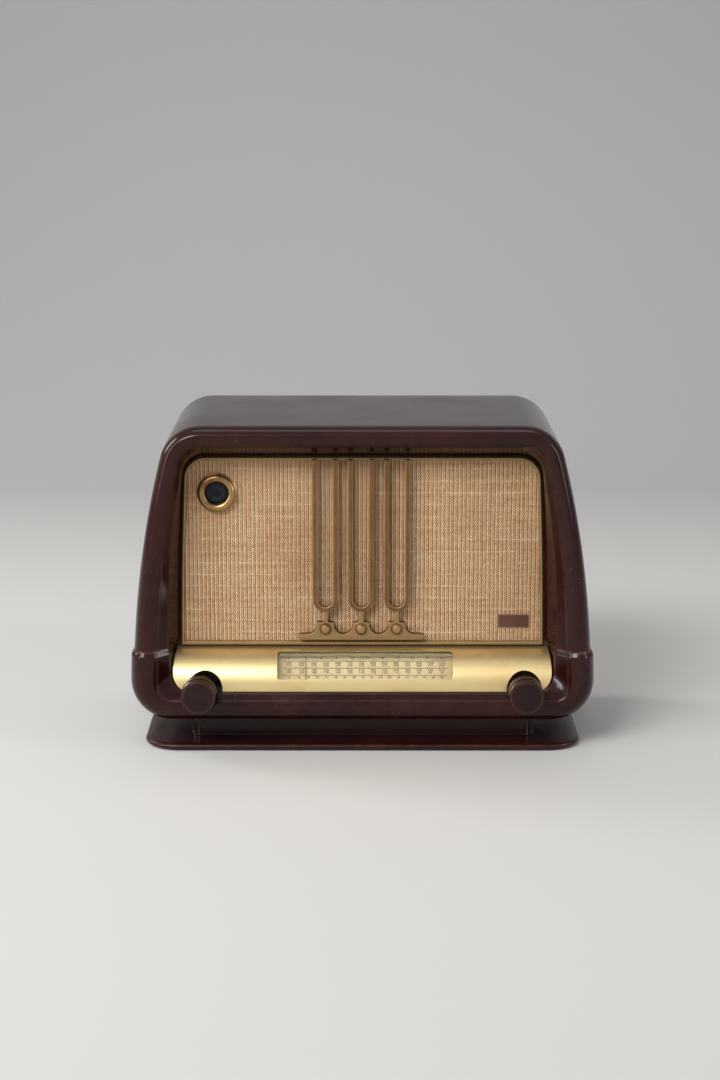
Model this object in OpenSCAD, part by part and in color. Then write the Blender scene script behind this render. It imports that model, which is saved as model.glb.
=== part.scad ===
// Table radio receiver in a dark moulded cabinet on a flat pedestal.
// Millimetres, +X to the listener's right, +Y to the back, +Z up.
// The origin lies on the table, under the middle of the set.
// A place is given as x, depth and height: depth counts back from the front crest.

/* [Cabinet] */
// Width across the cradle, the widest place
body_w = 506; // [490:1:520]
// Height of the crown above the table
body_h = 357; // [350:1:366]
// Depth from the front crest to the back edge
body_depth = 235; // [225:1:260]
// Height of the cabinet's underside above the table
floor_h = 32; // [28:1:36]
// Wall thickness of the moulding
wall = 4.5; // [3.5:0.1:5]
// Radius of the bulge along each side
side_r = 1074; // [900:1:1400]
// Radius of the two upper corners
top_corner_r = 45; // [38:1:52]
// Radius of the two lower corners
low_corner_r = 45; // [40:1:50]

/* [Front frame] */
// Width of the rounded rim at the top
rim_w = 21; // [18:0.5:24]
// Width of the rounded rim at the foot of the side pillars
rim_low_w = 26; // [23:0.5:28]
// How far the rounded rim reaches back
rim_depth = 20; // [16:0.5:24]
// Depth of the rear lip of the sloping reveal
reveal_depth = 42; // [40:0.5:46]
// Height of the front frame above the grille opening
top_rim = 37; // [33:0.5:43]
// Width of each pillar beside the foot of the grille opening
pillar_w = 50.8; // [48:0.2:56]
// Radius of the upper corners of the grille opening
opening_r = 25; // [18:0.5:30]
// Height of the top edge of the chin rail
chin_top = 63.5; // [61:0.5:64]

/* [Cradle] */
// Height of the shoulder where the thicker cradle starts
cradle_h = 107; // [104:0.5:110]
// How far the cradle stands out from the upper walls
cradle_step = 3.2; // [2:0.1:4]

/* [Pedestal] */
// How far the base plate ends inside the cradle's side
base_inset = 13; // [5:0.5:25]
// Thickness of the base plate
base_t = 6; // [5:0.1:8]
// Corner radius of the base plate
base_r = 39; // [30:1:50]
// How far the neck stands inside the cradle's side
neck_inset = 65; // [55:1:80]
// How far the neck stands back from the front crest
neck_back = 35; // [25:1:50]
// How far each felt pad reaches under the plate
pad_t = 1; // [0.8:0.1:1.5]

/* [Grille] */
// Width of the metal bead round the cloth
bead_w = 5.5; // [4:0.1:7]
// Height of the foot of the grille cloth
cloth_foot = 113; // [112:0.5:116]
// Thickness of the cloth on its stretcher
cloth_t = 1; // [0.6:0.1:1.5]
// Thickness of the baffle board
baffle_t = 8; // [6:0.5:10]
// Distance between two hairpin bars
bar_pitch = 39; // [37:0.5:42]
// Width of one leg of a hairpin bar
bar_w = 5.3; // [4.5:0.1:6]
// Outside width of one hairpin bar
hairpin_w = 28; // [26:0.5:30]
// Height of the bend of the hairpin bars
hairpin_foot = 148.5; // [145:0.5:152]
// How far the bars stand proud of the cloth
bar_proud = 10; // [8:0.5:12]

/* [Tuning eye] */
// Distance of the eye from the side of the grille opening
eye_inset = 41; // [38:0.5:46]
// Distance of the eye below the top of the grille opening
eye_drop = 40; // [36:0.5:45]
// Outside radius of the eye's bezel
eye_bezel_r = 21.5; // [20:0.1:22.5]
// Radius of the hole in the bezel
eye_hole_r = 12; // [11:0.1:13]
// Radius of the eye's glass bulb
eye_bulb_r = 14.5; // [13.5:0.1:15]

/* [Dial] */
// Radius of the curved metal dial panel
panel_r = 44.5; // [43.5:0.1:45]
// Thickness of the dial panel's sheet
panel_t = 0.8; // [0.6:0.1:1]
// Depth of the foot of the dial panel
panel_foot_depth = 7; // [6.5:0.1:8]
// Width of the dial window
window_w = 192; // [184:1:196]
// Sideways place of the middle of the window
window_x = 3; // [0:0.5:5]
// Length of the window along the slope
window_l = 35; // [30:0.5:36]
// Distance of the dial scale behind the glass
scale_back = 8; // [7:0.1:10]
// Travel of the pointer between its stops
pointer_travel = 157; // [150:0.5:160]
// Radius of the drive cord
cord_r = 0.5; // [0.4:0.05:0.6]

/* [Controls] */
// Distance of the control axes from the cradle's sides
control_inset = 76.5; // [74:0.5:79]
// Height of the control axes
control_z = 68.5; // [68:0.1:69.5]
// Radius of the control knobs
knob_r = 18.8; // [17:0.1:19.5]
// How far the front knobs stand out from the front crest
knob_proud = 30; // [27:0.5:34]
// Thickness of a front knob's disc
knob_t = 9; // [7:0.5:11]
// Thickness of a rear ring
ring_t = 9; // [7:0.5:10]
// Radius of the inner spindles
spindle_r = 2; // [1.8:0.1:2.2]
// Radius of the outer sleeves
sleeve_r = 3.2; // [3:0.1:3.5]
// Radial play of a turning shaft in its hole
running_gap = 0.06; // [0.03:0.01:0.1]

/* [Chassis] */
// Room between the chassis tray and the cradle's side
chassis_inset = 48; // [44:0.5:52]
// Height of the chassis deck above the table
deck_z = 92; // [90:0.5:94]
// Thickness of the chassis sheet
sheet_t = 1.5; // [1.2:0.1:2]
// Depth of the chassis front wall
chassis_front = 68; // [67:0.5:70]
// Room between the chassis and the back cover
cover_room = 22; // [18:0.5:26]

/* [Hidden] */
$fn = 48;

// How far the whole set lies in front of the origin, so that it is centred
front_y = (knob_proud - body_depth) / 2;

// Outer form of the upper walls, without the cradle's step
half_w = body_w / 2 - cradle_step;
opening_half_w = half_w - pillar_w;
opening_top = body_h - top_rim;
shell_foot = floor_h + cradle_step;
foot_corner_r = low_corner_r - cradle_step;
side_middle_z = 58;

module at_front() {
    translate([0, front_y, 0]) children();
}

// Eased step from 0 to 1 while t goes from 0 to 1
function ease(t) = let (u = min(1, max(0, t))) u * u * (3 - 2 * u);
function mix(a, b, t) = a + (b - a) * t;

// One closed loop of the cabinet front, right half: crown, corner, bulging side, corner, foot.
// Each station is [x, z, normal x, normal z]. All loops have the same number of stations.
corner_steps = 9;
side_steps = 9;
shoulder_drops = [6, 3.5, 1.8, 0.6, -0.6, -2];
shoulder_high = cradle_h + shoulder_drops[0];
shoulder_low = cradle_h + shoulder_drops[len(shoulder_drops) - 1];
low_side_steps = 3;

function side_point(half, mid_z, r, z) =
    let (s = (z - mid_z) / r, c = sqrt(1 - s * s)) [half - r + r * c, z, c, s];

function corner_turn(half, mid_z, r, corner_r, corner_z) =
    asin((corner_z - mid_z) / (r - corner_r));

function right_half(half, mid_z, r, top_z, top_r, foot_z, foot_r) =
    let (
        turn_top = corner_turn(half, mid_z, r, top_r, top_z - top_r),
        turn_foot = corner_turn(half, mid_z, r, foot_r, foot_z + foot_r),
        top_x = half - r + (r - top_r) * cos(turn_top),
        foot_x = half - r + (r - foot_r) * cos(turn_foot),
        high_z = mid_z + r * sin(turn_top),
        low_z = mid_z + r * sin(turn_foot)
    )
    concat(
        [[0, top_z, 0, 1], [top_x / 2, top_z, 0, 1]],
        [for (i = [0 : corner_steps]) let (a = mix(90, turn_top, i / corner_steps))
            [top_x + top_r * cos(a), top_z - top_r + top_r * sin(a), cos(a), sin(a)]],
        [for (i = [1 : side_steps])
            side_point(half, mid_z, r, mix(high_z, shoulder_high, i / side_steps))],
        [for (i = [1 : len(shoulder_drops) - 1])
            side_point(half, mid_z, r, cradle_h + shoulder_drops[i])],
        [for (i = [1 : low_side_steps])
            side_point(half, mid_z, r, mix(shoulder_low, low_z, i / low_side_steps))],
        [for (i = [1 : corner_steps]) let (a = mix(turn_foot, -90, i / corner_steps))
            [foot_x + foot_r * cos(a), foot_z + foot_r + foot_r * sin(a), cos(a), sin(a)]],
        [[foot_x / 2, foot_z, 0, -1], [0, foot_z, 0, -1]]
    );

// The left half repeats the right one, without its two middle stations
function whole_loop(half_loop) =
    let (n = len(half_loop))
    concat(half_loop, [for (i = [n - 2 : -1 : 1]) let (p = half_loop[i]) [-p[0], p[1], -p[2], p[3]]]);

outline = whole_loop(right_half(half_w, side_middle_z, side_r,
    body_h, top_corner_r, shell_foot, foot_corner_r));
chamfer_w = 12;
chamfer_h = 13;
chamfer_middle_z = 130;
chamfer_side_r = 950;
chamfer_foot_r = 22;
opening_middle_z = 60;
opening_side_r = 5000;
opening_foot_r = 18;
chamfer_edge = whole_loop(right_half(opening_half_w + chamfer_w, chamfer_middle_z, chamfer_side_r,
    opening_top + chamfer_h, opening_r + 3, chin_top, chamfer_foot_r));
opening = whole_loop(right_half(opening_half_w + 1, opening_middle_z, opening_side_r,
    opening_top, opening_r, chin_top - 2, opening_foot_r));
stations = len(outline);

// Share of the cradle's step at a height, and how far a place is down towards the chin
function cradle_share(z) = ease((shoulder_high - z) / (shoulder_high - shoulder_low));
function chin_share(p) = ease((-p[3] + 0.02) / 1.02);

function rim_width(p) =
    let (low = ease((body_h - 40 - p[1]) / (body_h - 40 - cradle_h)))
    mix(mix(rim_w, rim_low_w, low), 22, chin_share(p));

// A place on the section: out from a loop's station by "out", at a depth
function out_from(p, out, depth) = [p[0] + p[2] * out, depth, p[1] + p[3] * out];

// Section of the moulding at one station: outside, rounded rim, chamfer, reveal, then back inside
bend_steps = 5;
lip_rise = 0.4;
function section(k) =
    let (
        p = outline[k], e = chamfer_edge[k], o = opening[k],
        c = cradle_step * cradle_share(p[1]),
        chin = chin_share(p),
        w = rim_width(p),
        crest = mix(0.47 * w, 0.62 * w, chin),
        edge_depth = mix(15, 5, chin),
        widen = 5 * cradle_share(p[1] - 4) * (1 - chin)
    )
    concat(
        [out_from(p, c, body_depth), out_from(p, c, mix(body_depth, rim_depth, 0.5))],
        [for (i = [0 : bend_steps]) let (a = 90 * i / bend_steps)
            out_from(p, -crest + (crest + c) * cos(a), rim_depth - (rim_depth + c) * sin(a))],
        [for (i = [1 : 3]) let (t = i / 3)
            out_from(p, -crest - (w - crest) * sin(60 * t) / sin(60),
                mix(5, 2, chin) * (1 - cos(60 * t)) * 2 - c)],
        [out_from(e, -c * lip_rise, edge_depth - c * 0.8)],
        [out_from(o, widen, reveal_depth)],
        [out_from(o, widen + wall, reveal_depth)],
        [out_from(e, wall * 1.1, edge_depth + wall * 0.9)],
        [out_from(p, -w + 1, mix(5, 2, chin) + wall * 1.2)],
        [out_from(p, -crest, wall)],
        [for (i = [1 : 3]) let (a = 90 - 30 * i)
            out_from(p, -crest + (crest - wall) * cos(a), rim_depth - (rim_depth - wall) * sin(a))],
        [out_from(p, -wall, mix(body_depth, rim_depth, 0.5)), out_from(p, -wall, body_depth)]
    );

module moulded_shell() {
    rings = [for (k = [0 : stations - 1]) section(k)];
    n = len(rings[0]);
    faces = [for (k = [0 : stations - 1]) for (j = [0 : n - 1])
        let (k2 = (k + 1) % stations, j2 = (j + 1) % n)
        each [[k * n + j, k2 * n + j, k2 * n + j2], [k * n + j, k2 * n + j2, k * n + j2]]];
    polyhedron(points = [for (ring = rings) each ring], faces = faces, convexity = 8);
}

// A round bar along the depth axis, between two depths
module rod(r, from, to) {
    translate([0, from, 0]) rotate([-90, 0, 0]) cylinder(r = r, h = to - from);
}

// A ring along the depth axis, between two depths
module tube(outer, inner, from, to) {
    difference() {
        rod(outer, from, to);
        rod(inner, from - 1, to + 1);
    }
}

// A flat outline in width and height, thick from one depth to the other
module slab(from, to) {
    translate([0, to, 0]) rotate([90, 0, 0]) linear_extrude(to - from) children();
}

// A loop of the cabinet front as a flat outline, grown by "out"
module loop_shape(loop, out) {
    polygon([for (p = loop) [p[0] + p[2] * out, p[1] + p[3] * out]]);
}

// A rectangle with round corners, centred sideways, from one height to the next
module round_rect(w, low, high, r) {
    for (s = [-1, 1], z = [low + r, high - r]) translate([s * (w / 2 - r), z]) circle(r);
    translate([-w / 2 + r, low]) square([w - 2 * r, high - low]);
    translate([-w / 2, low + r]) square([w, high - low - 2 * r]);
}

// Places that follow the cabinet's sides, top and back
base_w = body_w - 2 * base_inset;
neck_w = body_w - 2 * neck_inset;
chassis_w = body_w - 2 * chassis_inset;
cover_t = 3;
cover_inset = 2;
cover_depth = body_depth - cover_inset - cover_t;
chassis_back = cover_depth - cover_room;
control_x = body_w / 2 - control_inset;
eye_x = -opening_half_w + eye_inset;
eye_z = opening_top - eye_drop;

// Four bolts hold chassis, cabinet and pedestal together
bolt_r = 2;
bolt_play = 0.3;
bolt_head_r = 5;
bolt_head_t = 3;
bolt_inset = 55;
bolt_x = chassis_w / 2 - bolt_inset;
bolt_depths = [chassis_front + 17, chassis_back - 18];
module at_bolts() {
    for (s = [-1, 1], d = bolt_depths) translate([s * bolt_x, d, 0]) children();
}

// Six moulded bosses near the back edge take the screws of the back cover
boss_r = 7;
boss_l = 18;
screw_r = 1.75;
boss_inset = wall + 4.5;
boss_stations = [2, 17, 34];
function boss_place(k) = let (p = outline[k]) [p[0] - p[2] * boss_inset, p[1] - p[3] * boss_inset];
module at_bosses() {
    for (k = boss_stations, s = [-1, 1])
        let (b = boss_place(k)) translate([s * b[0], 0, b[1]]) children();
}

module cabinet() {
    color([0.24, 0.10, 0.10]) at_front() difference() {
        union() {
            moulded_shell();
            at_bosses() rod(boss_r, cover_depth - boss_l, cover_depth);
        }
        at_bolts() translate([0, 0, floor_h - 1]) cylinder(r = bolt_r + bolt_play, h = 20);
        at_bosses() rod(screw_r, cover_depth - boss_l + 3, cover_depth + 1);
    }
}

// Base plate with a full round rim, and the neck that carries the cabinet
pad_r = 9;
pad_recess = 0.6;
neck_r = 12;
neck_end = 20;
module rim_disc() {
    translate([0, 0, pad_t]) rotate_extrude($fn = 32) {
        square([base_r - base_t / 2, base_t]);
        translate([base_r - base_t / 2, base_t / 2]) circle(base_t / 2, $fn = 16);
    }
}
module at_plate_corners(inset) {
    for (s = [-1, 1], y = [inset, body_depth - inset])
        translate([s * (base_w / 2 - inset), y, 0]) children();
}
module pedestal_base() {
    neck_l = body_depth - neck_back - neck_end;
    color([0.27, 0.11, 0.10]) at_front() difference() {
        union() {
            hull() at_plate_corners(base_r) rim_disc();
            translate([0, neck_back + neck_l, pad_t + base_t / 2]) mirror([0, 1, 0])
                linear_extrude(floor_h - pad_t - base_t / 2) round_rect(neck_w, 0, neck_l, neck_r);
        }
        at_bolts() {
            cylinder(r = bolt_r + bolt_play, h = floor_h + 1);
            cylinder(r = bolt_head_r + 1, h = pad_t + bolt_head_t + 1);
        }
        at_plate_corners(base_r) cylinder(r = pad_r + 0.2, h = pad_t + pad_recess);
    }
}
module felt_pads() {
    color([0.20, 0.24, 0.20]) at_front() at_plate_corners(base_r) cylinder(r = pad_r, h = pad_t + pad_recess);
}

// Baffle board behind the reveal, with the cloth and its metal bead in front
seat_gap = 0.3;
baffle_front = reveal_depth + seat_gap;
baffle_back = baffle_front + baffle_t;
baffle_foot = 104;
speaker_rise = 3;
speaker_z = (baffle_foot + opening_top) / 2 + speaker_rise;
speaker_r = 82;
cone_r = 73;
module baffle_board() {
    color([0.55, 0.42, 0.28]) at_front() difference() {
        slab(baffle_front, baffle_back) intersection() {
            loop_shape(opening, 7);
            translate([-body_w / 2, baffle_foot]) square([body_w, body_h]);
        }
        translate([0, 0, speaker_z]) rod(cone_r, baffle_front - 1, baffle_back + 1);
        translate([eye_x, 0, eye_z]) rod(eye_bulb_r + 1, baffle_front - 1, baffle_back + 1);
    }
}

cloth_gap = 0.1;
cloth_back = baffle_front - cloth_gap;
cloth_front = cloth_back - cloth_t;
cloth_inset = 1;
module cloth_field(inset, foot) {
    intersection() {
        loop_shape(opening, -inset);
        translate([-body_w / 2, foot]) square([body_w, body_h]);
    }
}
module grille_cloth() {
    color([0.82, 0.68, 0.48]) at_front() difference() {
        slab(cloth_front, cloth_back) cloth_field(cloth_inset, cloth_foot);
        translate([eye_x, 0, eye_z]) rod(eye_bulb_r + 1, cloth_front - 1, cloth_back + 1);
    }
}
bead_t = 2.4;
bead_foot_w = 3.5;
module cloth_bead() {
    color([0.66, 0.55, 0.34]) at_front() {
        slab(cloth_front - bead_t, cloth_front - cloth_gap) difference() {
            cloth_field(cloth_inset, cloth_foot);
            cloth_field(cloth_inset + bead_w, cloth_foot + bead_foot_w);
        }
    }
}

// Three hairpin bars on a scalloped foot with three round studs
grille_x = -1.5;
bar_t = 6.5;
bar_front = cloth_front - bar_proud;
bend_r = (hairpin_w - bar_w) / 2;
bend_z = hairpin_foot + hairpin_w / 2;
bar_top = opening_top - 3;
foot_low = 117;
foot_high = 123.2;
foot_half_w = 69;
block_half_w = 9.2;
block_top = 136.5;
flank_r = bar_pitch / 2 - block_half_w;
stud_r = 6.5;
stud_z = 129.3;
stud_proud = 4;
module bar_section() {
    translate([0, bar_front + bar_w / 2]) circle(bar_w / 2);
    translate([-bar_w / 2, bar_front + bar_w / 2]) square([bar_w, bar_t - bar_w / 2]);
}
module hairpin() {
    translate([0, 0, bend_z]) {
        for (s = [-1, 1]) translate([s * bend_r, 0, 0]) linear_extrude(bar_top - bend_z) bar_section();
        rotate([-90, 0, 0]) rotate_extrude(angle = 180) translate([bend_r, 0]) bar_section();
    }
    for (s = [-1, 1]) translate([s * bend_r, 0, bar_top - 6])
        rod(bar_w / 2 - 0.4, bar_front + bar_t - 1, cloth_front - cloth_gap);
}
module foot_outline() {
    translate([-foot_half_w, foot_low]) square([2 * foot_half_w, foot_high - foot_low]);
    for (i = [-1 : 1]) translate([i * bar_pitch, 0]) {
        translate([-bar_w / 2, block_top - 1]) square([bar_w, hairpin_foot + bar_w / 2 - block_top + 1]);
        difference() {
            translate([-bar_pitch / 2, foot_high - 0.5])
                square([bar_pitch, block_top - foot_high + 0.5]);
            for (s = [-1, 1]) {
                translate([s * bar_pitch / 2, foot_high + flank_r]) circle(flank_r);
                translate([s * (block_half_w + flank_r / 2) - flank_r / 2, foot_high + flank_r])
                    square([flank_r, block_top]);
            }
        }
    }
}
module grille_bars() {
    color([0.62, 0.49, 0.29]) at_front() translate([grille_x, 0, 0]) {
        for (i = [-1 : 1]) translate([i * bar_pitch, 0, 0]) hairpin();
        slab(bar_front + 1, cloth_front - cloth_gap) foot_outline();
    }
}
module grille_studs() {
    dome_r = (stud_r * stud_r + stud_proud * stud_proud) / (2 * stud_proud);
    color([0.66, 0.53, 0.32]) at_front() for (i = [-1 : 1])
        translate([grille_x + i * bar_pitch, 0, stud_z]) intersection() {
            rod(stud_r, bar_front + 1 - stud_proud, bar_front + 1);
            translate([0, bar_front + 1 - stud_proud + dome_r, 0]) rotate([-90, 0, 0]) sphere(dome_r);
        }
}

// Bezel, bulb, socket and clamp of the tuning eye
bezel_flange_t = 1.6;
bezel_ring_r = 4.2;
eye_front = cloth_front - 2;
eye_bulb_l = 66;
eye_socket_r = 17;
module eye_bezel() {
    ring_at = eye_hole_r + bezel_ring_r;
    back = cloth_front - cloth_gap;
    color([0.60, 0.47, 0.27]) at_front() translate([eye_x, back, eye_z]) rotate([90, 0, 0])
        rotate_extrude() {
            translate([eye_hole_r, 0]) square([eye_bezel_r - eye_hole_r, bezel_flange_t]);
            translate([eye_hole_r, 0]) square([2 * bezel_ring_r, bezel_ring_r]);
            translate([ring_at, bezel_ring_r]) circle(bezel_ring_r);
        }
}
module eye_bulb() {
    color([0.10, 0.12, 0.14]) at_front() translate([eye_x, 0, eye_z]) {
        rod(eye_bulb_r, cloth_front + 1, cloth_front + 1 + eye_bulb_l);
        rod(eye_hole_r - 1, eye_front, cloth_front + 2);
    }
}
module eye_socket() {
    from = cloth_front + 1 + eye_bulb_l;
    color([0.16, 0.13, 0.11]) at_front() translate([eye_x, 0, eye_z]) {
        rod(eye_socket_r, from, from + 6);
        rod(eye_bulb_r - 2, from, from + 16);
    }
}
clamp_t = 2;
clamp_l = 10;
clamp_gap = 0.3;
clamp_stand = 8;
clamp_w = 10;
clamp_foot_l = 12;
clamp_foot_t = 1.5;
module eye_clamp() {
    inner = eye_bulb_r + clamp_gap;
    color([0.62, 0.62, 0.60]) at_front() translate([eye_x, 0, eye_z]) {
        tube(inner + clamp_t, inner, baffle_back + clamp_stand, baffle_back + clamp_stand + clamp_l);
        for (s = [-1, 1]) {
            translate([s * (inner + 1.5) - 1, baffle_back, -clamp_w / 2])
                cube([2, clamp_stand + clamp_l, clamp_w]);
            translate([s * (inner + clamp_foot_l / 2 + 0.5) - clamp_foot_l / 2, baffle_back, -clamp_w / 2])
                cube([clamp_foot_l, clamp_foot_t, clamp_w]);
        }
    }
}

// Bare plate in the lower right corner of the cloth
plate_inset = 33.4;
plate_x = opening_half_w - plate_inset;
plate_z = 136.3;
plate_w = 34;
plate_h = 15;
plate_t = 1.2;
module name_plate() {
    color([0.42, 0.20, 0.14]) at_front() translate([plate_x, 0, 0])
        slab(cloth_front - plate_t, cloth_front - cloth_gap)
            round_rect(plate_w, plate_z - plate_h / 2, plate_z + plate_h / 2, 1);
}

// Curved dial panel: a quarter round of sheet metal, from the chin rail up to the baffle
arc_depth = panel_foot_depth + panel_r;
arc_z = chin_top + seat_gap;
panel_half_w = opening_half_w + 8;
panel_back_half_w = opening_half_w + 4;
dial_tilt = 48;
window_corner_r = 4;
notch_r = 19;
notch_shift = 5;
panel_side_gap = 3.5;
panel_foot_gap = lip_rise * cradle_step + seat_gap;

// A side outline in depth and height, extruded from one x to the other
module side_profile(from_x, to_x) {
    translate([from_x, 0, 0]) rotate([90, 0, 90]) linear_extrude(to_x - from_x) children();
}

// Places a thing on the sloping dial: x along it, y up the slope, z out of it
module on_dial() {
    translate([window_x, arc_depth, arc_z]) rotate([dial_tilt, 0, 0]) children();
}

module dial_panel() {
    color([0.80, 0.72, 0.50]) at_front() difference() {
        intersection() {
            side_profile(-panel_half_w, panel_half_w) translate([arc_depth, arc_z]) intersection() {
                difference() {
                    circle(panel_r, $fn = 96);
                    circle(panel_r - panel_t, $fn = 96);
                }
                translate([-panel_r - 1, 0])
                    square([reveal_depth - arc_depth + panel_r + 1, panel_r + 1]);
            }
            slab(0, baffle_front)
                polygon([for (p = chamfer_edge)
                    [p[0] - p[2] * panel_side_gap, p[1] - p[3] * panel_foot_gap]]);
            translate([0, 0, arc_z - 1]) linear_extrude(panel_r + 2) polygon([
                [-panel_half_w, 0], [panel_half_w, 0], [panel_half_w, 15],
                [panel_back_half_w, reveal_depth], [-panel_back_half_w, reveal_depth], [-panel_half_w, 15]]);
        }
        on_dial() translate([0, 0, panel_r - 10]) linear_extrude(20)
            round_rect(window_w, -window_l / 2, window_l / 2, window_corner_r);
        for (x = [-control_x + notch_shift, control_x]) translate([x, 0, control_z])
            rod(notch_r, 0, panel_foot_depth + 12);
    }
}

// Flat glass behind the window, scale behind the glass
glass_t = 2;
glass_margin = 3;
glass_half_l = window_l / 2 + glass_margin;
glass_front = sqrt(pow(panel_r - panel_t, 2) - pow(glass_half_l, 2)) - seat_gap;
scale_front = glass_front - scale_back;
scale_t = 1.2;
scale_w = window_w + 16;
scale_low = -19;
scale_high = 16;
module dial_glass() {
    color([0.85, 0.90, 0.88, 0.4]) at_front() on_dial() translate([0, 0, glass_front - glass_t])
        linear_extrude(glass_t) round_rect(window_w + 2 * glass_margin, -glass_half_l, glass_half_l, 2);
}
module dial_scale() {
    color([0.88, 0.77, 0.52]) at_front() on_dial() translate([0, 0, scale_front - scale_t])
        linear_extrude(scale_t) round_rect(scale_w, scale_low, scale_high, 2);
}

// Sheet frame that carries the scale, the lamps, the rail and the idler pulleys
frame_front = 52;
frame_t = 1.2;
cheek_t = 1.5;
frame_back = frame_front + frame_t;
frame_low = 50;
frame_high = 95;
cord_depth = 62;
cord_line_z = 100;
winding_r = 5;
idler_r = 5;
idler_flange_r = 6;
idler_left_x = -100;
drum_inset = 24.5;
drum_x = control_x - drum_inset;
drum_r = pointer_travel / PI;
idler_right_x = drum_x - drum_r - idler_r;
idler_left_z = cord_line_z - idler_r;
idler_right_z = cord_line_z + idler_r;
lug_w = 2.5;
rail_left = idler_left_x + idler_flange_r;
rail_right = idler_right_x - idler_flange_r;
post_z = 56;
post_r = 3;
plate_left = min(window_x - scale_w / 2, rail_left - lug_w);
plate_right = max(window_x + scale_w / 2, rail_right + lug_w);
post_xs = [plate_left + 6, plate_right - 2];
rail_r = 1.2;
rail_depth = 57;
ear_w = 14;
lamp_xs = [-60, 60];
lamp_z = 78;
lamp_holder_r = 5;
lamp_bulb_r = 5;
lamp_holder_l = 9;
// Depth and height of a place on the sloping dial, u up the slope and n out of it
function on_slope(u, n) =
    [arc_depth + u * cos(dial_tilt) - n * sin(dial_tilt), arc_z + u * sin(dial_tilt) + n * cos(dial_tilt)];

// Side outline of a cheek: from the frame plate forward to the back of the sloping scale
module cheek_outline() {
    s = scale_front - scale_t;
    top = on_slope(14, s);
    low = on_slope(-17, s);
    polygon([[frame_front + 0.5, frame_low + 10], [frame_front + 0.5, frame_high - 2], top, low]);
}
module dial_frame() {
    color([0.55, 0.56, 0.55]) at_front() difference() {
        union() {
            slab(frame_front, frame_back) {
                translate([plate_left, frame_low]) square([plate_right - plate_left, frame_high - frame_low]);
                for (x = [rail_left - ear_w, rail_right - lug_w]) translate([x, frame_high - 1])
                    square([ear_w + lug_w, idler_right_z + 6 - frame_high]);
            }
            for (x = [window_x - scale_w / 2, window_x + scale_w / 2 - cheek_t])
                side_profile(x, x + cheek_t) cheek_outline();
            for (x = [rail_left, rail_right - lug_w]) translate([x, frame_back - 0.5, cord_line_z - 3])
                cube([lug_w, rail_depth + 2 - frame_back + 0.5, 6]);
            for (x = post_xs) translate([x, 0, post_z]) rod(post_r, frame_back - 0.5, chassis_front);
            translate([idler_left_x, 0, idler_left_z]) rod(1.5, frame_back - 0.5, cord_depth + 4);
            translate([idler_right_x, 0, idler_right_z]) rod(1.5, frame_back - 0.5, cord_depth + 4);
        }
        for (x = lamp_xs) translate([x, 0, lamp_z]) rod(lamp_holder_r, frame_front - 1, frame_back + 1);
        translate([rail_left - 1, rail_depth, cord_line_z]) rotate([0, 90, 0])
            cylinder(r = rail_r, h = rail_right - rail_left + 2);
    }
}
module dial_lamps() {
    neck_front = frame_back - lamp_holder_l;
    for (x = lamp_xs) at_front() translate([x, 0, lamp_z]) {
        color([0.75, 0.66, 0.40]) rod(lamp_holder_r, neck_front, frame_back + 3);
        color([0.9, 0.88, 0.75]) rod(lamp_bulb_r - 1, neck_front - 4, neck_front + 1);
        color([0.9, 0.88, 0.75]) translate([0, neck_front - 6, 0]) sphere(lamp_bulb_r);
    }
}
module pointer_rail() {
    color([0.75, 0.75, 0.73]) at_front() translate([rail_left, rail_depth, cord_line_z]) rotate([0, 90, 0])
        cylinder(r = rail_r, h = rail_right - rail_left);
}

// Pointer: a carriage on the rail, an arm over the frame and a needle down the scale
pointer_x = -62;
pointer_rest = 13;
carriage_w = 6;
needle_w = 0.9;
needle_gap = 3;
arm_t = 2;
arm_reach = 12.2;
arm_w = 2.4;
module pointer() {
    needle_n = scale_front + needle_gap;
    arm_front = arc_depth - arm_reach;
    color([0.35, 0.20, 0.12]) at_front() {
        difference() {
            translate([pointer_x - carriage_w / 2, rail_depth - 2.6, cord_line_z - 2.6])
                cube([carriage_w, cord_depth - rail_depth + 2.6 + 1.6, 5.2]);
            translate([pointer_x - carriage_w, rail_depth, cord_line_z]) rotate([0, 90, 0])
                cylinder(r = rail_r + running_gap, h = 2 * carriage_w);
            translate([pointer_x - carriage_w, cord_depth, cord_line_z]) rotate([0, 90, 0])
                cylinder(r = cord_r + 0.3, h = 2 * carriage_w);
        }
        translate([pointer_x - arm_w / 2, arm_front, cord_line_z - arm_t / 2])
            cube([arm_w, rail_depth - 2.4 - arm_front, arm_t]);
        translate([pointer_x, arc_depth, arc_z]) rotate([dial_tilt, 0, 0])
            translate([-needle_w / 2, -window_l / 2 + 2, needle_n - 0.4]) cube([needle_w, window_l, 0.8]);
    }
}

module idler_pulleys() {
    color([0.78, 0.68, 0.42]) at_front()
        for (p = [[idler_left_x, idler_left_z], [idler_right_x, idler_right_z]]) translate([p[0], 0, p[1]])
            difference() {
                union() {
                    rod(idler_r - cord_r - 0.15, cord_depth - 2.5, cord_depth + 2.5);
                    rod(idler_flange_r, cord_depth - 2.5, cord_depth - 1.5);
                    rod(idler_flange_r, cord_depth + 1.5, cord_depth + 2.5);
                }
                rod(1.5 + running_gap, cord_depth - 3, cord_depth + 3);
            }
}

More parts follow.
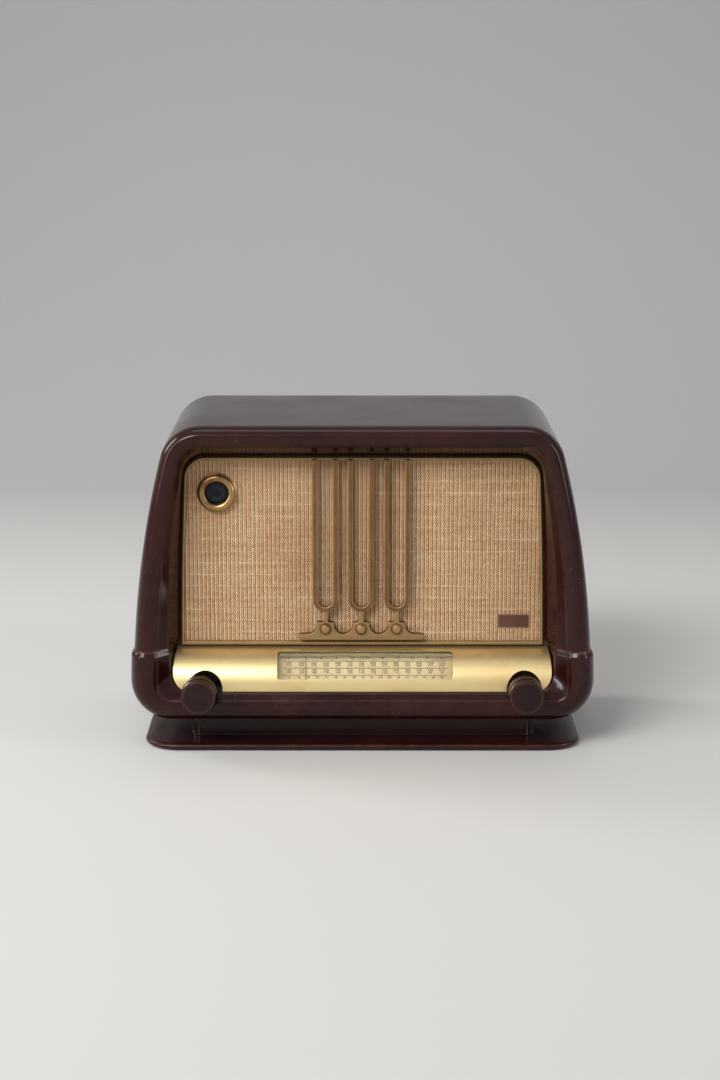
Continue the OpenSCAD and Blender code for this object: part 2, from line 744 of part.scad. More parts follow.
// Drive drum on the shaft of the tuning gang
gang_z = 124;
shaft_r = 3;
drum_flange = 1.5;
drum_half_t = 2.5;
module drive_drum() {
    color([0.72, 0.62, 0.40]) at_front() translate([drum_x, 0, gang_z]) difference() {
        union() {
            rod(drum_r - cord_r - 0.2, cord_depth - drum_half_t, cord_depth + drum_half_t);
            rod(drum_r + drum_flange, cord_depth - drum_half_t, cord_depth - drum_half_t + 1);
            rod(drum_r + drum_flange, cord_depth + drum_half_t - 1, cord_depth + drum_half_t);
            rod(7, cord_depth - drum_half_t - 2, cord_depth + drum_half_t + 3);
        }
        rod(shaft_r, cord_depth - 10, cord_depth + 10);
        for (a = [0 : 90 : 270]) rotate([0, a, 0]) translate([drum_r * 0.55, 0, 0])
            rod(drum_r * 0.26, cord_depth - 10, cord_depth + 10);
    }
}

// Drive cord: one endless loop over drum, spindle, left idler and right idler.
// Each place is [x, depth, z]; the cord steps sideways by one pitch a turn on the spindle.
cord_turns = 2;
cord_pitch = 1.3;
function on_circle(x, z, r, a, depth) = [x + r * cos(a), depth, z + r * sin(a)];
// Angles at which the cord's straight runs touch the drum and the spindle
right_span = [control_x - drum_x, control_z - gang_z];
low_span = [idler_left_x - control_x, idler_left_z - control_z];
low_lean = atan2(low_span[1], low_span[0]) + 90;
drum_end = atan2(right_span[1], right_span[0]) + acos((drum_r - winding_r) / norm(right_span));
cord_first = cord_depth - 1;
cord_last = cord_first + cord_pitch * cord_turns;
cord_path = concat(
    [for (a = [180 : -7.5 : drum_end + 3]) on_circle(drum_x, gang_z, drum_r, a, cord_depth)],
    [on_circle(drum_x, gang_z, drum_r, drum_end, cord_depth)],
    let (from = drum_end, to = low_lean - 360 * cord_turns, n = 14 * cord_turns)
        [for (i = [0 : n]) on_circle(control_x, control_z, winding_r, mix(from, to, i / n),
            mix(cord_first, cord_last, i / n))],
    let (n = 8) [for (i = [0 : n]) on_circle(idler_left_x, idler_left_z, idler_r,
        mix(low_lean, 90, i / n), cord_depth)],
    let (n = 4) [for (i = [0 : n]) on_circle(idler_right_x, idler_right_z, idler_r,
        mix(-90, 0, i / n), cord_depth)]
);
cord_sides = 8;
// A closed round tube along a path, one ring of points at each place
module closed_tube(path, r) {
    n = len(path);
    rings = [for (k = [0 : n - 1])
        let (
            t = path[(k + 1) % n] - path[(k + n - 1) % n],
            dir = t / norm(t),
            side = cross(dir, [0, 1, 0]),
            u = side / norm(side),
            w = cross(dir, u)
        )
        [for (j = [0 : cord_sides - 1]) let (a = 360 * j / cord_sides)
            path[k] + r * (cos(a) * u + sin(a) * w)]];
    faces = [for (k = [0 : n - 1]) for (j = [0 : cord_sides - 1])
        let (k2 = (k + 1) % n, j2 = (j + 1) % cord_sides)
        each [[k * cord_sides + j, k2 * cord_sides + j, k2 * cord_sides + j2],
            [k * cord_sides + j, k2 * cord_sides + j2, k * cord_sides + j2]]];
    polyhedron(points = [for (ring = rings) each ring], faces = faces, convexity = 6);
}
module drive_cord() {
    color([0.75, 0.70, 0.60]) at_front() closed_tube(cord_path, cord_r);
}

// Controls: each side has a front knob on a spindle inside a rear ring on a sleeve
disc_back = -knob_proud + knob_t;
ring_front = disc_back + 6;
ring_back = ring_front + ring_t;
push_gap = 0.02;
face_dome_r = 90;
hub_r = 12.5;
hub_gap = 0.5;
knob_round = 1.6;
module knob_disc_profile() {
    intersection() {
        union() {
            square([knob_r - knob_round, knob_t]);
            translate([0, knob_round]) square([knob_r, knob_t - 2 * knob_round]);
            for (y = [knob_round, knob_t - knob_round])
                translate([knob_r - knob_round, y]) circle(knob_round);
        }
        translate([0, knob_t - face_dome_r]) circle(face_dome_r, $fn = 200);
    }
}
module front_knob(x) {
    translate([x, disc_back, control_z]) rotate([90, 0, 0]) difference() {
        union() {
            rotate_extrude() intersection() {
                knob_disc_profile();
                square([knob_r, knob_t]);
            }
            translate([0, 0, -(ring_front - disc_back - hub_gap)]) cylinder(r = hub_r, h = 6);
        }
        translate([0, 0, -10]) cylinder(r = spindle_r + push_gap, h = 14);
    }
}
module rear_ring(x) {
    translate([x, 0, control_z]) difference() {
        union() {
            rod(knob_r - 1, ring_front, ring_back);
            rod(knob_r, ring_front + 1, ring_back - 1);
            for (y = [ring_front + 1, ring_back - 1]) translate([0, y, 0]) rotate([-90, 0, 0])
                rotate_extrude() translate([knob_r - 1, 0]) circle(1);
        }
        rod(sleeve_r + push_gap, ring_front - 1, ring_back + 1);
    }
}
module sleeve(x, to) {
    translate([x, 0, control_z]) tube(sleeve_r, spindle_r + running_gap, ring_front + 1, to);
}
tone_sleeve_end = chassis_front + sheet_t + 8;
band_sleeve_end = 50;
switch_front = 44;
switch_back = 55.5;
bracket_t = 1.5;
control_body_r = 15;
bush_r = 4.8;
bush_l = 8;
bracket_w = 38;
bracket_h = 40;
bracket_low = 47;
module volume_knob() { color([0.25, 0.11, 0.11]) at_front() front_knob(-control_x); }
module volume_spindle() {
    color([0.8, 0.8, 0.78]) at_front() translate([-control_x, 0, control_z])
        rod(spindle_r, disc_back - 4, tone_sleeve_end + 6);
}
module tone_ring() { color([0.27, 0.12, 0.12]) at_front() rear_ring(-control_x); }
module tone_sleeve() { color([0.76, 0.66, 0.42]) at_front() sleeve(-control_x, tone_sleeve_end); }
module tone_control() {
    back = chassis_front + sheet_t;
    color([0.45, 0.44, 0.42]) at_front() translate([-control_x, 0, control_z]) difference() {
        union() {
            rod(bush_r, chassis_front - 9, back + 1);
            rod(control_body_r, back, back + 18);
        }
        rod(sleeve_r + running_gap, chassis_front - 10, tone_sleeve_end + 1);
        rod(spindle_r + running_gap, chassis_front - 10, tone_sleeve_end + 7);
    }
}
module tuning_knob() { color([0.25, 0.11, 0.11]) at_front() front_knob(control_x); }
module tuning_spindle() {
    color([0.8, 0.8, 0.78]) at_front() translate([control_x, 0, control_z]) {
        rod(spindle_r, disc_back - 4, chassis_front + 8);
        rod(winding_r - cord_r - 0.15, cord_depth - 4, cord_depth + 4);
        for (y = [cord_depth - 4, cord_depth + 3]) rod(winding_r + 1.5, y, y + 1);
    }
}
module band_ring() { color([0.27, 0.12, 0.12]) at_front() rear_ring(control_x); }
module band_sleeve() { color([0.76, 0.66, 0.42]) at_front() sleeve(control_x, band_sleeve_end); }
module band_switch() {
    color([0.50, 0.40, 0.28]) at_front() translate([control_x, 0, control_z]) difference() {
        union() {
            rod(control_body_r, switch_front, switch_back);
            rod(bush_r, switch_front - bush_l, switch_front + 1);
        }
        rod(sleeve_r + running_gap, switch_front - bush_l - 1, band_sleeve_end + 0.5);
        rod(spindle_r + running_gap, switch_front - bush_l - 1, switch_back + 1);
    }
}
module switch_bracket() {
    color([0.55, 0.56, 0.55]) at_front() difference() {
        translate([control_x - bracket_w / 2, 0, bracket_low]) {
            slab(switch_back, switch_back + bracket_t) square([bracket_w, bracket_h]);
            translate([0, switch_back, 0]) cube([bracket_w, chassis_front - switch_back, bracket_t]);
        }
        translate([control_x, 0, control_z]) rod(spindle_r + 1, switch_back - 1, switch_back + bracket_t + 1);
    }
}
module spindle_bush() {
    color([0.76, 0.66, 0.42]) at_front() translate([control_x, 0, control_z])
        tube(bush_r, spindle_r + running_gap, chassis_front - 1, chassis_front + sheet_t + 4);
}

// Chassis tray: deck and four walls of sheet steel, open below, on four rubber feet.
// The mains transformer stands at its left end, and the other parts follow from it.
mains_inset = 67;
mains_x = -chassis_w / 2 + mains_inset;
chassis_low = 46;
flange_w = 26;
socket_hole_r = 12;
valve_inset = 24;
valve_depth = chassis_back - valve_inset;
valve_first = 74;
valve_pitch = 48;
valve_xs = [for (i = [0 : 4]) mains_x + valve_first + i * valve_pitch];
shell_floor = shell_foot + wall;
module chassis() {
    color([0.62, 0.63, 0.62]) at_front() difference() {
        translate([-chassis_w / 2, chassis_front, chassis_low])
            cube([chassis_w, chassis_back - chassis_front, deck_z - chassis_low]);
        translate([-chassis_w / 2 + sheet_t, chassis_front + sheet_t, chassis_low + sheet_t])
            cube([chassis_w - 2 * sheet_t, chassis_back - chassis_front - 2 * sheet_t,
                deck_z - chassis_low - 2 * sheet_t]);
        translate([-chassis_w / 2 + sheet_t, chassis_front + flange_w, chassis_low - 1])
            cube([chassis_w - 2 * sheet_t, chassis_back - chassis_front - 2 * flange_w, sheet_t + 2]);
        at_bolts() translate([0, 0, chassis_low - 1]) cylinder(r = bolt_r + bolt_play, h = 4);
        translate([-control_x, 0, control_z]) rod(bush_r, chassis_front - 1, chassis_front + 3);
        translate([control_x, 0, control_z]) rod(bush_r, chassis_front - 1, chassis_front + 3);
        for (x = valve_xs) translate([x, valve_depth, deck_z - 3]) cylinder(r = socket_hole_r, h = 4);
    }
}
foot_r = 9;
module chassis_feet() {
    color([0.12, 0.12, 0.12]) at_front() at_bolts() translate([0, 0, shell_floor]) difference() {
        cylinder(r = foot_r, h = chassis_low - shell_floor);
        translate([0, 0, -1]) cylinder(r = bolt_r + bolt_play, h = 10);
    }
}
nut_r = 4;
nut_t = 3;
module chassis_bolts() {
    color([0.6, 0.6, 0.58]) at_front() at_bolts() translate([0, 0, pad_t + 0.5]) {
        cylinder(r = bolt_head_r, h = bolt_head_t);
        cylinder(r = bolt_r, h = chassis_low + sheet_t + nut_t - pad_t);
    }
}
module chassis_nuts() {
    color([0.6, 0.6, 0.58]) at_front() at_bolts() translate([0, 0, chassis_low + sheet_t]) difference() {
        cylinder(r = nut_r, h = nut_t, $fn = 6);
        translate([0, 0, -1]) cylinder(r = bolt_r, h = nut_t + 2);
    }
}

// Loudspeaker behind the baffle: pressed basket with windows, magnet, cone and dust cap
basket_t = 1.5;
basket_l = 48;
basket_neck_r = 34;
basket_hole_ring = 56;
basket_hole_at = 24;
basket_hole_r = 11;
magnet_r = 36;
magnet_l = 26;
cone_neck_r = 15;
cone_l = 36;
cap_r = 18;
cap_l = 8;
speaker_bolt_r = 2.1;
speaker_head_r = 3;
bolt_ring = speaker_r - 3.2;
cap_dome_r = (cap_r * cap_r + cap_l * cap_l) / (2 * cap_l);
module speaker_basket() {
    at = baffle_back;
    color([0.35, 0.36, 0.36]) at_front() translate([0, 0, speaker_z]) difference() {
        translate([0, at, 0]) rotate([-90, 0, 0]) rotate_extrude() polygon([
            [cone_r, 0], [speaker_r, 0], [speaker_r, basket_t], [cone_r + basket_t + 1, basket_t],
            [basket_neck_r + 4, basket_l - basket_t], [basket_neck_r, basket_l],
            [17, basket_l], [17, basket_l - basket_t],
            [basket_neck_r, basket_l - basket_t], [cone_r, basket_t]]);
        for (a = [22.5 : 45 : 360]) rotate([0, a, 0]) translate([basket_hole_ring, at + basket_hole_at, 0])
            rotate([0, 90, 0]) cylinder(r = basket_hole_r, h = 30, center = true);
        for (a = [45 : 90 : 360]) rotate([0, a, 0]) translate([bolt_ring, 0, 0])
            rod(speaker_bolt_r + 0.1, at - 1, at + 3);
    }
}
module speaker_magnet() {
    at = baffle_back + basket_l;
    color([0.30, 0.30, 0.32]) at_front() translate([0, 0, speaker_z]) {
        rod(magnet_r, at, at + magnet_l);
        rod(magnet_r - 6, at + magnet_l - 1, at + magnet_l + 5);
    }
}
module speaker_cone() {
    at = baffle_back;
    color([0.18, 0.16, 0.15]) at_front() translate([0, at + seat_gap, speaker_z]) rotate([-90, 0, 0]) {
        rotate_extrude() polygon([[cone_r - 0.6, 0], [cone_r - 0.6, 1], [cone_r - 7, 2.5],
            [cone_neck_r + 1, cone_l], [cone_neck_r + 1, cone_l + 10], [cone_neck_r, cone_l + 10],
            [cone_neck_r, cone_l - 1], [cone_r - 7.5, 1.2], [cone_r - 3, 0]]);
        translate([0, 0, cone_l - 3 - cap_l]) intersection() {
            translate([0, 0, cap_dome_r]) sphere(cap_dome_r);
            cylinder(r = cap_r, h = cap_l);
        }
    }
}
module speaker_bolts() {
    color([0.6, 0.6, 0.58]) at_front() translate([0, 0, speaker_z]) for (a = [45 : 90 : 360])
        rotate([0, a, 0]) translate([bolt_ring, 0, 0]) {
            rod(speaker_head_r, baffle_back + basket_t, baffle_back + basket_t + 2.4);
            rod(speaker_bolt_r, baffle_back, baffle_back + basket_t + 1);
        }
}

// Valves in their sockets along the back of the deck
socket_r = 17;
socket_t = 3;
socket_skirt = 8;
spigot_r = 4.5;
valve_base_r = 14;
valve_base_l = 14;
valve_bulb_r = 15.5;
valve_bulb_l = 62;
module at_valves() {
    for (x = valve_xs) translate([x, valve_depth, deck_z]) children();
}
module valve_sockets() {
    color([0.45, 0.33, 0.20]) at_front() at_valves() difference() {
        union() {
            cylinder(r = socket_r, h = socket_t);
            translate([0, 0, -socket_skirt]) cylinder(r = socket_hole_r, h = socket_skirt + 1);
        }
        cylinder(r = spigot_r + 0.5, h = 4 * socket_skirt, center = true);
    }
}
module valve_bases() {
    color([0.14, 0.12, 0.11]) at_front() at_valves() {
        translate([0, 0, socket_t]) cylinder(r = valve_base_r, h = valve_base_l);
        translate([0, 0, -socket_skirt / 2]) cylinder(r = spigot_r, h = socket_skirt);
    }
}
module valve_bulbs() {
    color([0.55, 0.60, 0.62, 0.5]) at_front() at_valves() translate([0, 0, socket_t + valve_base_l]) {
        cylinder(r = valve_base_r - 1, h = 6);
        translate([0, 0, 5]) cylinder(r = valve_bulb_r, h = valve_bulb_l - 25);
        translate([0, 0, valve_bulb_l - 20]) sphere(valve_bulb_r);
        translate([0, 0, valve_bulb_l - 6]) cylinder(r = 3, h = 6);
    }
}

// Screened intermediate-frequency cans, smoothing capacitor and the two transformers
can_w = 30;
can_h = 70;
can_holes = [20, 50];
can_xs = [mains_x + 146, mains_x + 198];
can_gap = 42;
can_depth = valve_depth - can_gap;
module if_cans() {
    color([0.78, 0.79, 0.80]) at_front() for (x = can_xs) translate([x, can_depth, deck_z]) difference() {
        union() {
            linear_extrude(can_h) translate([0, -can_w / 2]) round_rect(can_w, 0, can_w, 4);
            linear_extrude(1.2) square([can_w + 14, 12], center = true);
        }
        for (z = can_holes) translate([0, can_w / 2 - 2, z]) rotate([-90, 0, 0]) cylinder(r = 3, h = 4);
    }
}
capacitor_r = 17;
capacitor_h = 76;
capacitor_x = mains_x + 28;
capacitor_inset = 32;
capacitor_depth = chassis_front + capacitor_inset;
module smoothing_capacitor() {
    color([0.70, 0.71, 0.72]) at_front() translate([capacitor_x, capacitor_depth, deck_z]) {
        cylinder(r = capacitor_r + 2, h = 2);
        cylinder(r = capacitor_r, h = capacitor_h - 3);
        cylinder(r = capacitor_r - 2, h = capacitor_h);
    }
}
// A stack of plates standing on its edge, with two windows for the winding
module lamination(w, h, stack, window_w, window_h) {
    rotate([90, 0, 0]) translate([0, 0, -stack / 2]) linear_extrude(stack) difference() {
        translate([-w / 2, 0]) square([w, h]);
        for (s = [-1, 1]) translate([s * w / 4 - window_w / 2, (h - window_h) / 2])
            square([window_w, window_h]);
    }
}
module winding(w, h, stack, window_w, window_h, bulge) {
    leg = w / 2 - window_w + 0.4;
    translate([0, 0, (h - window_h) / 2 + 0.2]) difference() {
        linear_extrude(window_h - 0.4) translate([0, -stack / 2 - bulge])
            round_rect(leg + 2 * window_w - 0.8, 0, stack + 2 * bulge, bulge * 0.8);
        translate([-leg / 2, -stack / 2 - 0.2, -1]) cube([leg, stack + 0.4, window_h + 2]);
    }
}
mains_gap = 19;
mains_depth = valve_depth - mains_gap;
mains_w = 84;
mains_h = 70;
mains_stack = 34;
mains_window_w = 14;
mains_window_h = 42;
module at_mains() { translate([mains_x, mains_depth, deck_z]) children(); }
module transformer_core() {
    color([0.20, 0.20, 0.21]) at_front() at_mains() {
        lamination(mains_w, mains_h, mains_stack, mains_window_w, mains_window_h);
        for (s = [-1, 1]) translate([s * (mains_w / 2 + 3), 0, 1]) cube([8, mains_stack, 2], center = true);
    }
}
module transformer_winding() {
    color([0.55, 0.38, 0.20]) at_front() at_mains()
        winding(mains_w, mains_h, mains_stack, mains_window_w, mains_window_h, 11);
}
output_x = mains_x + 78;
output_gap = 44;
output_depth = valve_depth - output_gap;
output_w = 46;
output_h = 40;
output_stack = 18;
output_window_w = 8;
output_window_h = 23;
module output_core() {
    color([0.20, 0.20, 0.21]) at_front() translate([output_x, output_depth, deck_z])
        lamination(output_w, output_h, output_stack, output_window_w, output_window_h);
}
module output_winding() {
    color([0.62, 0.50, 0.30]) at_front() translate([output_x, output_depth, deck_z])
        winding(output_w, output_h, output_stack, output_window_w, output_window_h, 6);
}

// Tuning gang: frame, fixed vanes below the shaft and turning vanes between them
gang_front = 73;
gang_back = 127;
gang_half_w = 25;
gang_plate_t = 2;
gang_top = gang_z + 12;
vane_r = 20;
vane_t = 0.8;
vane_pitch = 4;
vanes = 5;
section_starts = [79, 104];
meshed_turn = pointer_rest / drum_r * 180 / PI;
module gang_frame() {
    color([0.72, 0.73, 0.72]) at_front() difference() {
        union() {
            translate([drum_x - gang_half_w, gang_front, deck_z])
                cube([2 * gang_half_w, gang_back - gang_front, gang_plate_t]);
            for (y = [gang_front, gang_back - gang_plate_t]) slab(y, y + gang_plate_t)
                translate([drum_x - gang_half_w, deck_z]) square([2 * gang_half_w, gang_top - deck_z]);
        }
        translate([drum_x, 0, gang_z]) rod(shaft_r + running_gap, gang_front - 1, gang_back + 1);
    }
}
module half_vane(r, from, to) {
    intersection() {
        rod(r, from, to);
        translate([-r - 1, from - 1, -r - 1]) cube([2 * r + 2, to - from + 2, r + 1]);
    }
}
module gang_stator() {
    color([0.80, 0.80, 0.78]) at_front() translate([drum_x, 0, gang_z]) {
        for (start = section_starts, i = [0 : vanes]) let (y = start + (i - 0.5) * vane_pitch) difference() {
            half_vane(vane_r + 2, y, y + vane_t);
            rod(shaft_r + 3, y - 1, y + 2);
        }
        for (s = [-1, 1]) translate([s * (vane_r + 2), 0, -3])
            rod(1.5, gang_front + gang_plate_t, gang_back - gang_plate_t);
    }
}
module gang_rotor() {
    color([0.80, 0.80, 0.78]) at_front() translate([drum_x, 0, gang_z]) {
        rod(shaft_r, cord_depth - drum_half_t - 3, gang_back + 3);
        for (start = section_starts, i = [0 : vanes - 1]) rotate([0, meshed_turn, 0])
            half_vane(vane_r, start + i * vane_pitch, start + i * vane_pitch + vane_t);
    }
}

// Back: sockets for aerial and earth, mains inlet, fibreboard cover and its screws
strip_inset = 110;
strip_x = chassis_w / 2 - strip_inset;
strip_z = 68;
strip_w = 64;
strip_h = 16;
strip_t = 3;
socket_holes = [-24, -8, 8, 24];
module socket_strip() {
    color([0.48, 0.34, 0.20]) at_front() translate([strip_x, 0, 0]) difference() {
        union() {
            slab(chassis_back, chassis_back + strip_t)
                round_rect(strip_w, strip_z - strip_h / 2, strip_z + strip_h / 2, 3);
            for (x = socket_holes) translate([x, 0, strip_z])
                rod(4, chassis_back, chassis_back + strip_t + 6);
        }
        for (x = socket_holes) translate([x, 0, strip_z]) rod(2, chassis_back + 1, chassis_back + 20);
    }
}
inlet_inset = 55;
inlet_x = -chassis_w / 2 + inlet_inset;
inlet_z = 66;
inlet_r = 8;
inlet_bore = 3.5;
module mains_grommet() {
    color([0.10, 0.10, 0.10]) at_front() translate([inlet_x, 0, inlet_z]) difference() {
        union() {
            rod(inlet_r, cover_depth - 0.3, cover_depth + cover_t + 0.3);
            rod(inlet_r + 2.5, cover_depth + cover_t + 0.2, cover_depth + cover_t + 1.8);
            rod(inlet_r + 2.5, cover_depth - 2, cover_depth - 0.2);
        }
        rod(inlet_bore, cover_depth - 3, cover_depth + cover_t + 3);
    }
}
slot_w = 5;
slot_l = 40;
slot_pitch = 15;
slot_rows = [[250, 12], [190, 13]];
vent_r = 4;
vent_pitch = 16;
vent_z = 120;
screw_l = 9;
screw_head_r = 3.6;
screw_head_t = 1.8;
module back_cover() {
    color([0.36, 0.24, 0.15]) at_front() difference() {
        slab(cover_depth, cover_depth + cover_t) difference() {
            loop_shape(outline, -wall - 0.5);
            for (row = slot_rows, i = [-row[1] : row[1]]) translate([i * slot_pitch, row[0]])
                round_rect(slot_w, 0, slot_l, slot_w / 2 - 0.01);
            translate([strip_x, 0]) round_rect(strip_w - 4, strip_z - 6, strip_z + 6, 3);
            for (i = [-4 : 4]) translate([i * vent_pitch, vent_z]) circle(vent_r);
        }
        translate([inlet_x, 0, inlet_z]) rod(inlet_r + 0.1, cover_depth - 1, cover_depth + cover_t + 1);
        at_bosses() rod(screw_r + 0.3, cover_depth - 1, cover_depth + cover_t + 1);
    }
}
module cover_screws() {
    color([0.70, 0.66, 0.50]) at_front() at_bosses() {
        rod(screw_head_r, cover_depth + cover_t, cover_depth + cover_t + screw_head_t);
        rod(screw_r, cover_depth - screw_l, cover_depth + cover_t + 1);
    }
}

cabinet();
pedestal_base();
felt_pads();
baffle_board();
grille_cloth();
cloth_bead();
grille_bars();
grille_studs();
eye_bezel();
eye_bulb();
eye_socket();
eye_clamp();
name_plate();
dial_panel();
dial_glass();
dial_scale();
dial_frame();
dial_lamps();
pointer_rail();
pointer();
idler_pulleys();
drive_drum();
drive_cord();
gang_frame();
gang_stator();
gang_rotor();
volume_knob();
volume_spindle();
tone_ring();
tone_sleeve();
tone_control();
tuning_knob();
tuning_spindle();
band_ring();
band_sleeve();
band_switch();
switch_bracket();
spindle_bush();
chassis();
chassis_feet();
chassis_bolts();
chassis_nuts();
speaker_basket();
speaker_magnet();
speaker_cone();
speaker_bolts();
valve_sockets();
valve_bases();
valve_bulbs();
if_cans();
smoothing_capacitor();
transformer_core();
transformer_winding();
output_core();
output_winding();
socket_strip();
mains_grommet();
back_cover();
cover_screws();
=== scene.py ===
"""Looks of a table radio receiver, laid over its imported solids.

All lengths in the classes are millimetres. A place is x, depth and height, where depth counts back from the
front crest of the cabinet; `place` turns that into the frame's metres.
"""

from __future__ import annotations

import logging
import math
from dataclasses import dataclass
from enum import Enum

import bpy
import numpy as np
from mathutils.geometry import tessellate_polygon
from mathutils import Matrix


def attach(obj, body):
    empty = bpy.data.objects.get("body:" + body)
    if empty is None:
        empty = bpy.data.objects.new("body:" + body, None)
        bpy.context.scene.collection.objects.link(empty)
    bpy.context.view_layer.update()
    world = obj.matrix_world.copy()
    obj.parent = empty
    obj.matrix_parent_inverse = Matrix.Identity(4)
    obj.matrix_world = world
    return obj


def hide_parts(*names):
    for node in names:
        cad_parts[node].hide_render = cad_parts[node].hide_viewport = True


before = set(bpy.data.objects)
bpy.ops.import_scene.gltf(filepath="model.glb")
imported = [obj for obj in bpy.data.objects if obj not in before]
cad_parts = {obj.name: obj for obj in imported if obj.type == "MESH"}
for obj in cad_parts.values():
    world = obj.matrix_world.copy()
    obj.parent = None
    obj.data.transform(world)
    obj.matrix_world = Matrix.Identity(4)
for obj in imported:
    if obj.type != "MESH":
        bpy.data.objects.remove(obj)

Array = np.ndarray
Pair = tuple[float, float]
Triple = tuple[float, float, float]
Quad = tuple[float, float, float, float]
Colour = Triple
LOG = logging.getLogger("receiver")
BODY = "receiver"  # The body that all fixed pieces ride on.
FRONT_Y = -102.5  # Where the frame has depth 0.
EYE = (-158.0, 280.0)  # Sideways place and height of the tuning eye.
DIAL_ARC = (51.5, 63.8)  # Depth and height of the line that the dial's curve turns about.
DIAL_TILT = 48.0  # Slope of the scale in degrees.
WINDOW_X = 3.0  # Sideways place of the middle of the dial's window.
MILLI = 0.001
PER_METRE = 1000.0


def place(points: Array) -> Array:
    """Turn x, depth and height in millimetres into the frame's metres."""
    return (np.asarray(points, float) + (0.0, FRONT_Y, 0.0)) * MILLI


def ease(t: Array | float) -> Array:
    """Smooth step from 0 to 1: t squared times (3 - 2t), held outside 0 to 1."""
    t = np.clip(t, 0.0, 1.0)
    return t * t * (3.0 - 2.0 * t)


def mix(a: Array | float, b: Array | float, t: Array | float) -> Array:
    """Straight blend from a to b."""
    return a + (b - a) * t


def srgb(red: float, green: float, blue: float) -> Colour:
    """A colour given as screen values, as linear light.

    Args:
        red: Red from 0 to 255.
        green: Green from 0 to 255.
        blue: Blue from 0 to 255.

    Returns:
        The three shares of light, from 0 to 1.
    """
    part = np.array([red, green, blue]) / 255.0
    linear = np.where(part <= 0.04045, part / 12.92, ((part + 0.055) / 1.055) ** 2.4)
    return tuple(linear.tolist())


def side_by_side(*numbers: Array | float) -> Array:
    """Numbers as the columns of a last axis, each stretched to the shape that they share."""
    return np.stack(np.broadcast_arrays(*numbers), -1)


def arc(x: float, z: float, r: float, start: float, end: float, count: int) -> Array:
    """Places (x + r cos a, z + r sin a) on a circle, for `count` angles a in radians from start to end."""
    a = np.linspace(start, end, count)
    return side_by_side(x + r * np.cos(a), z + r * np.sin(a))


@dataclass
class Shell:
    """A closed skin.

    Args:
        points: Places in millimetres, one row each.
        faces: Arrays of point numbers, with three or four columns.
        edge: How worn each point is, 0 to 1, where the skin says so; on the cabinet's cradle ledge and the
            knob rims it also holds painted highlight.
    """

    points: Array
    faces: list[Array]
    edge: Array | None = None

    def outward(self) -> Shell:
        """Turn the faces outward, by the sign of the volume they enclose.

        Returns:
            The same skin, with its faces reversed where the volume was negative.
        """
        volume = 0.0
        for face in self.faces:
            p = self.points[face]
            for k in range(1, face.shape[1] - 1):
                volume += np.einsum("ij,ij->", p[:, 0], np.cross(p[:, k], p[:, k + 1]))
        if volume < 0:
            self.faces = [face[:, ::-1] for face in self.faces]
        return self


def grid_faces(rows: int, columns: int, wrap_rows: bool, wrap_columns: bool) -> Array:
    """Four-cornered faces between neighbouring rows and columns of a grid of points.

    Args:
        rows: Number of rows of points.
        columns: Number of points in a row.
        wrap_rows: Whether the last row joins the first.
        wrap_columns: Whether each row's last point joins its first.

    Returns:
        Point numbers, four to a face.
    """
    r = np.arange(rows if wrap_rows else rows - 1)[:, None]
    c = np.arange(columns if wrap_columns else columns - 1)[None, :]
    r2, c2 = (r + 1) % rows, (c + 1) % columns
    corners = (r * columns + c, r * columns + c2, r2 * columns + c2, r2 * columns + c)
    return side_by_side(*corners).reshape(-1, 4)


def tube_skin(rings: Array, wrap: bool = False, edge: Array | None = None) -> Shell:
    """A skin through closed rings of points, its ends closed by fans to their middle.

    Args:
        rings: Points, as rows of rings.
        wrap: Whether the last ring joins the first, which leaves no ends.
        edge: The wear of each point, with any painted highlight, or of each ring as one column, or of a
            ring's points as one row.

    Returns:
        The closed skin.
    """
    k, n = rings.shape[:2]
    points, faces = rings.reshape(-1, 3), [grid_faces(k, n, wrap, True)]
    if edge is not None:
        edge = np.broadcast_to(edge, (k, n)).reshape(-1)
    if not wrap:
        j = np.arange(n)
        j2 = (j + 1) % n
        points = np.vstack([points, rings[0].mean(0), rings[-1].mean(0)])
        faces += [side_by_side(k * n, j2, j), side_by_side(k * n + 1, (k - 1) * n + j, (k - 1) * n + j2)]
        edge = None if edge is None else np.append(edge, edge[[0, -1]])
    return Shell(points, faces, edge).outward()


def bent(before: Array, corner: Array, after: Array, reach: Array | float, steps: int,
         most: float = math.inf) -> Array:
    """Round corners, one to a row: the curve blends its start, the corner and its end.

    Their shares are the squares (1-t)^2, 2t(1-t) and t^2; start and end lie `reach` away along the sides.

    Args:
        before: Places towards which the first sides run.
        corner: Places of the corners.
        after: Places towards which the second sides run.
        reach: How far the curves reach along the sides, one number or one for each corner.
        steps: Pieces in each curve.
        most: The largest share of a side that a curve may take.

    Returns:
        The curves, one to a row.
    """
    ends = []
    for other in (before, after):
        size = np.linalg.norm(other - corner, axis=1, keepdims=True) + 1e-9
        ends.append(corner + (other - corner) / size * np.minimum(reach, most * size))
    t = np.linspace(0.0, 1.0, steps + 1)[:, None]
    return ends[0][:, None] * (1 - t) ** 2 + corner[:, None] * 2 * t * (1 - t) + ends[1][:, None] * t**2


def soften(corners: Array, reach: Array, steps: int) -> Array:
    """Round a closed line's corners, each in `steps` pieces by a curve that runs `reach` along its sides."""
    curve = bent(np.roll(corners, 1, 0), corners, np.roll(corners, -1, 0), reach[:, None], steps, 0.49)
    return curve.reshape(-1, corners.shape[1])


class Along(Enum):
    """Direction of the axis of a turned piece."""

    DEPTH = "depth"
    HEIGHT = "height"


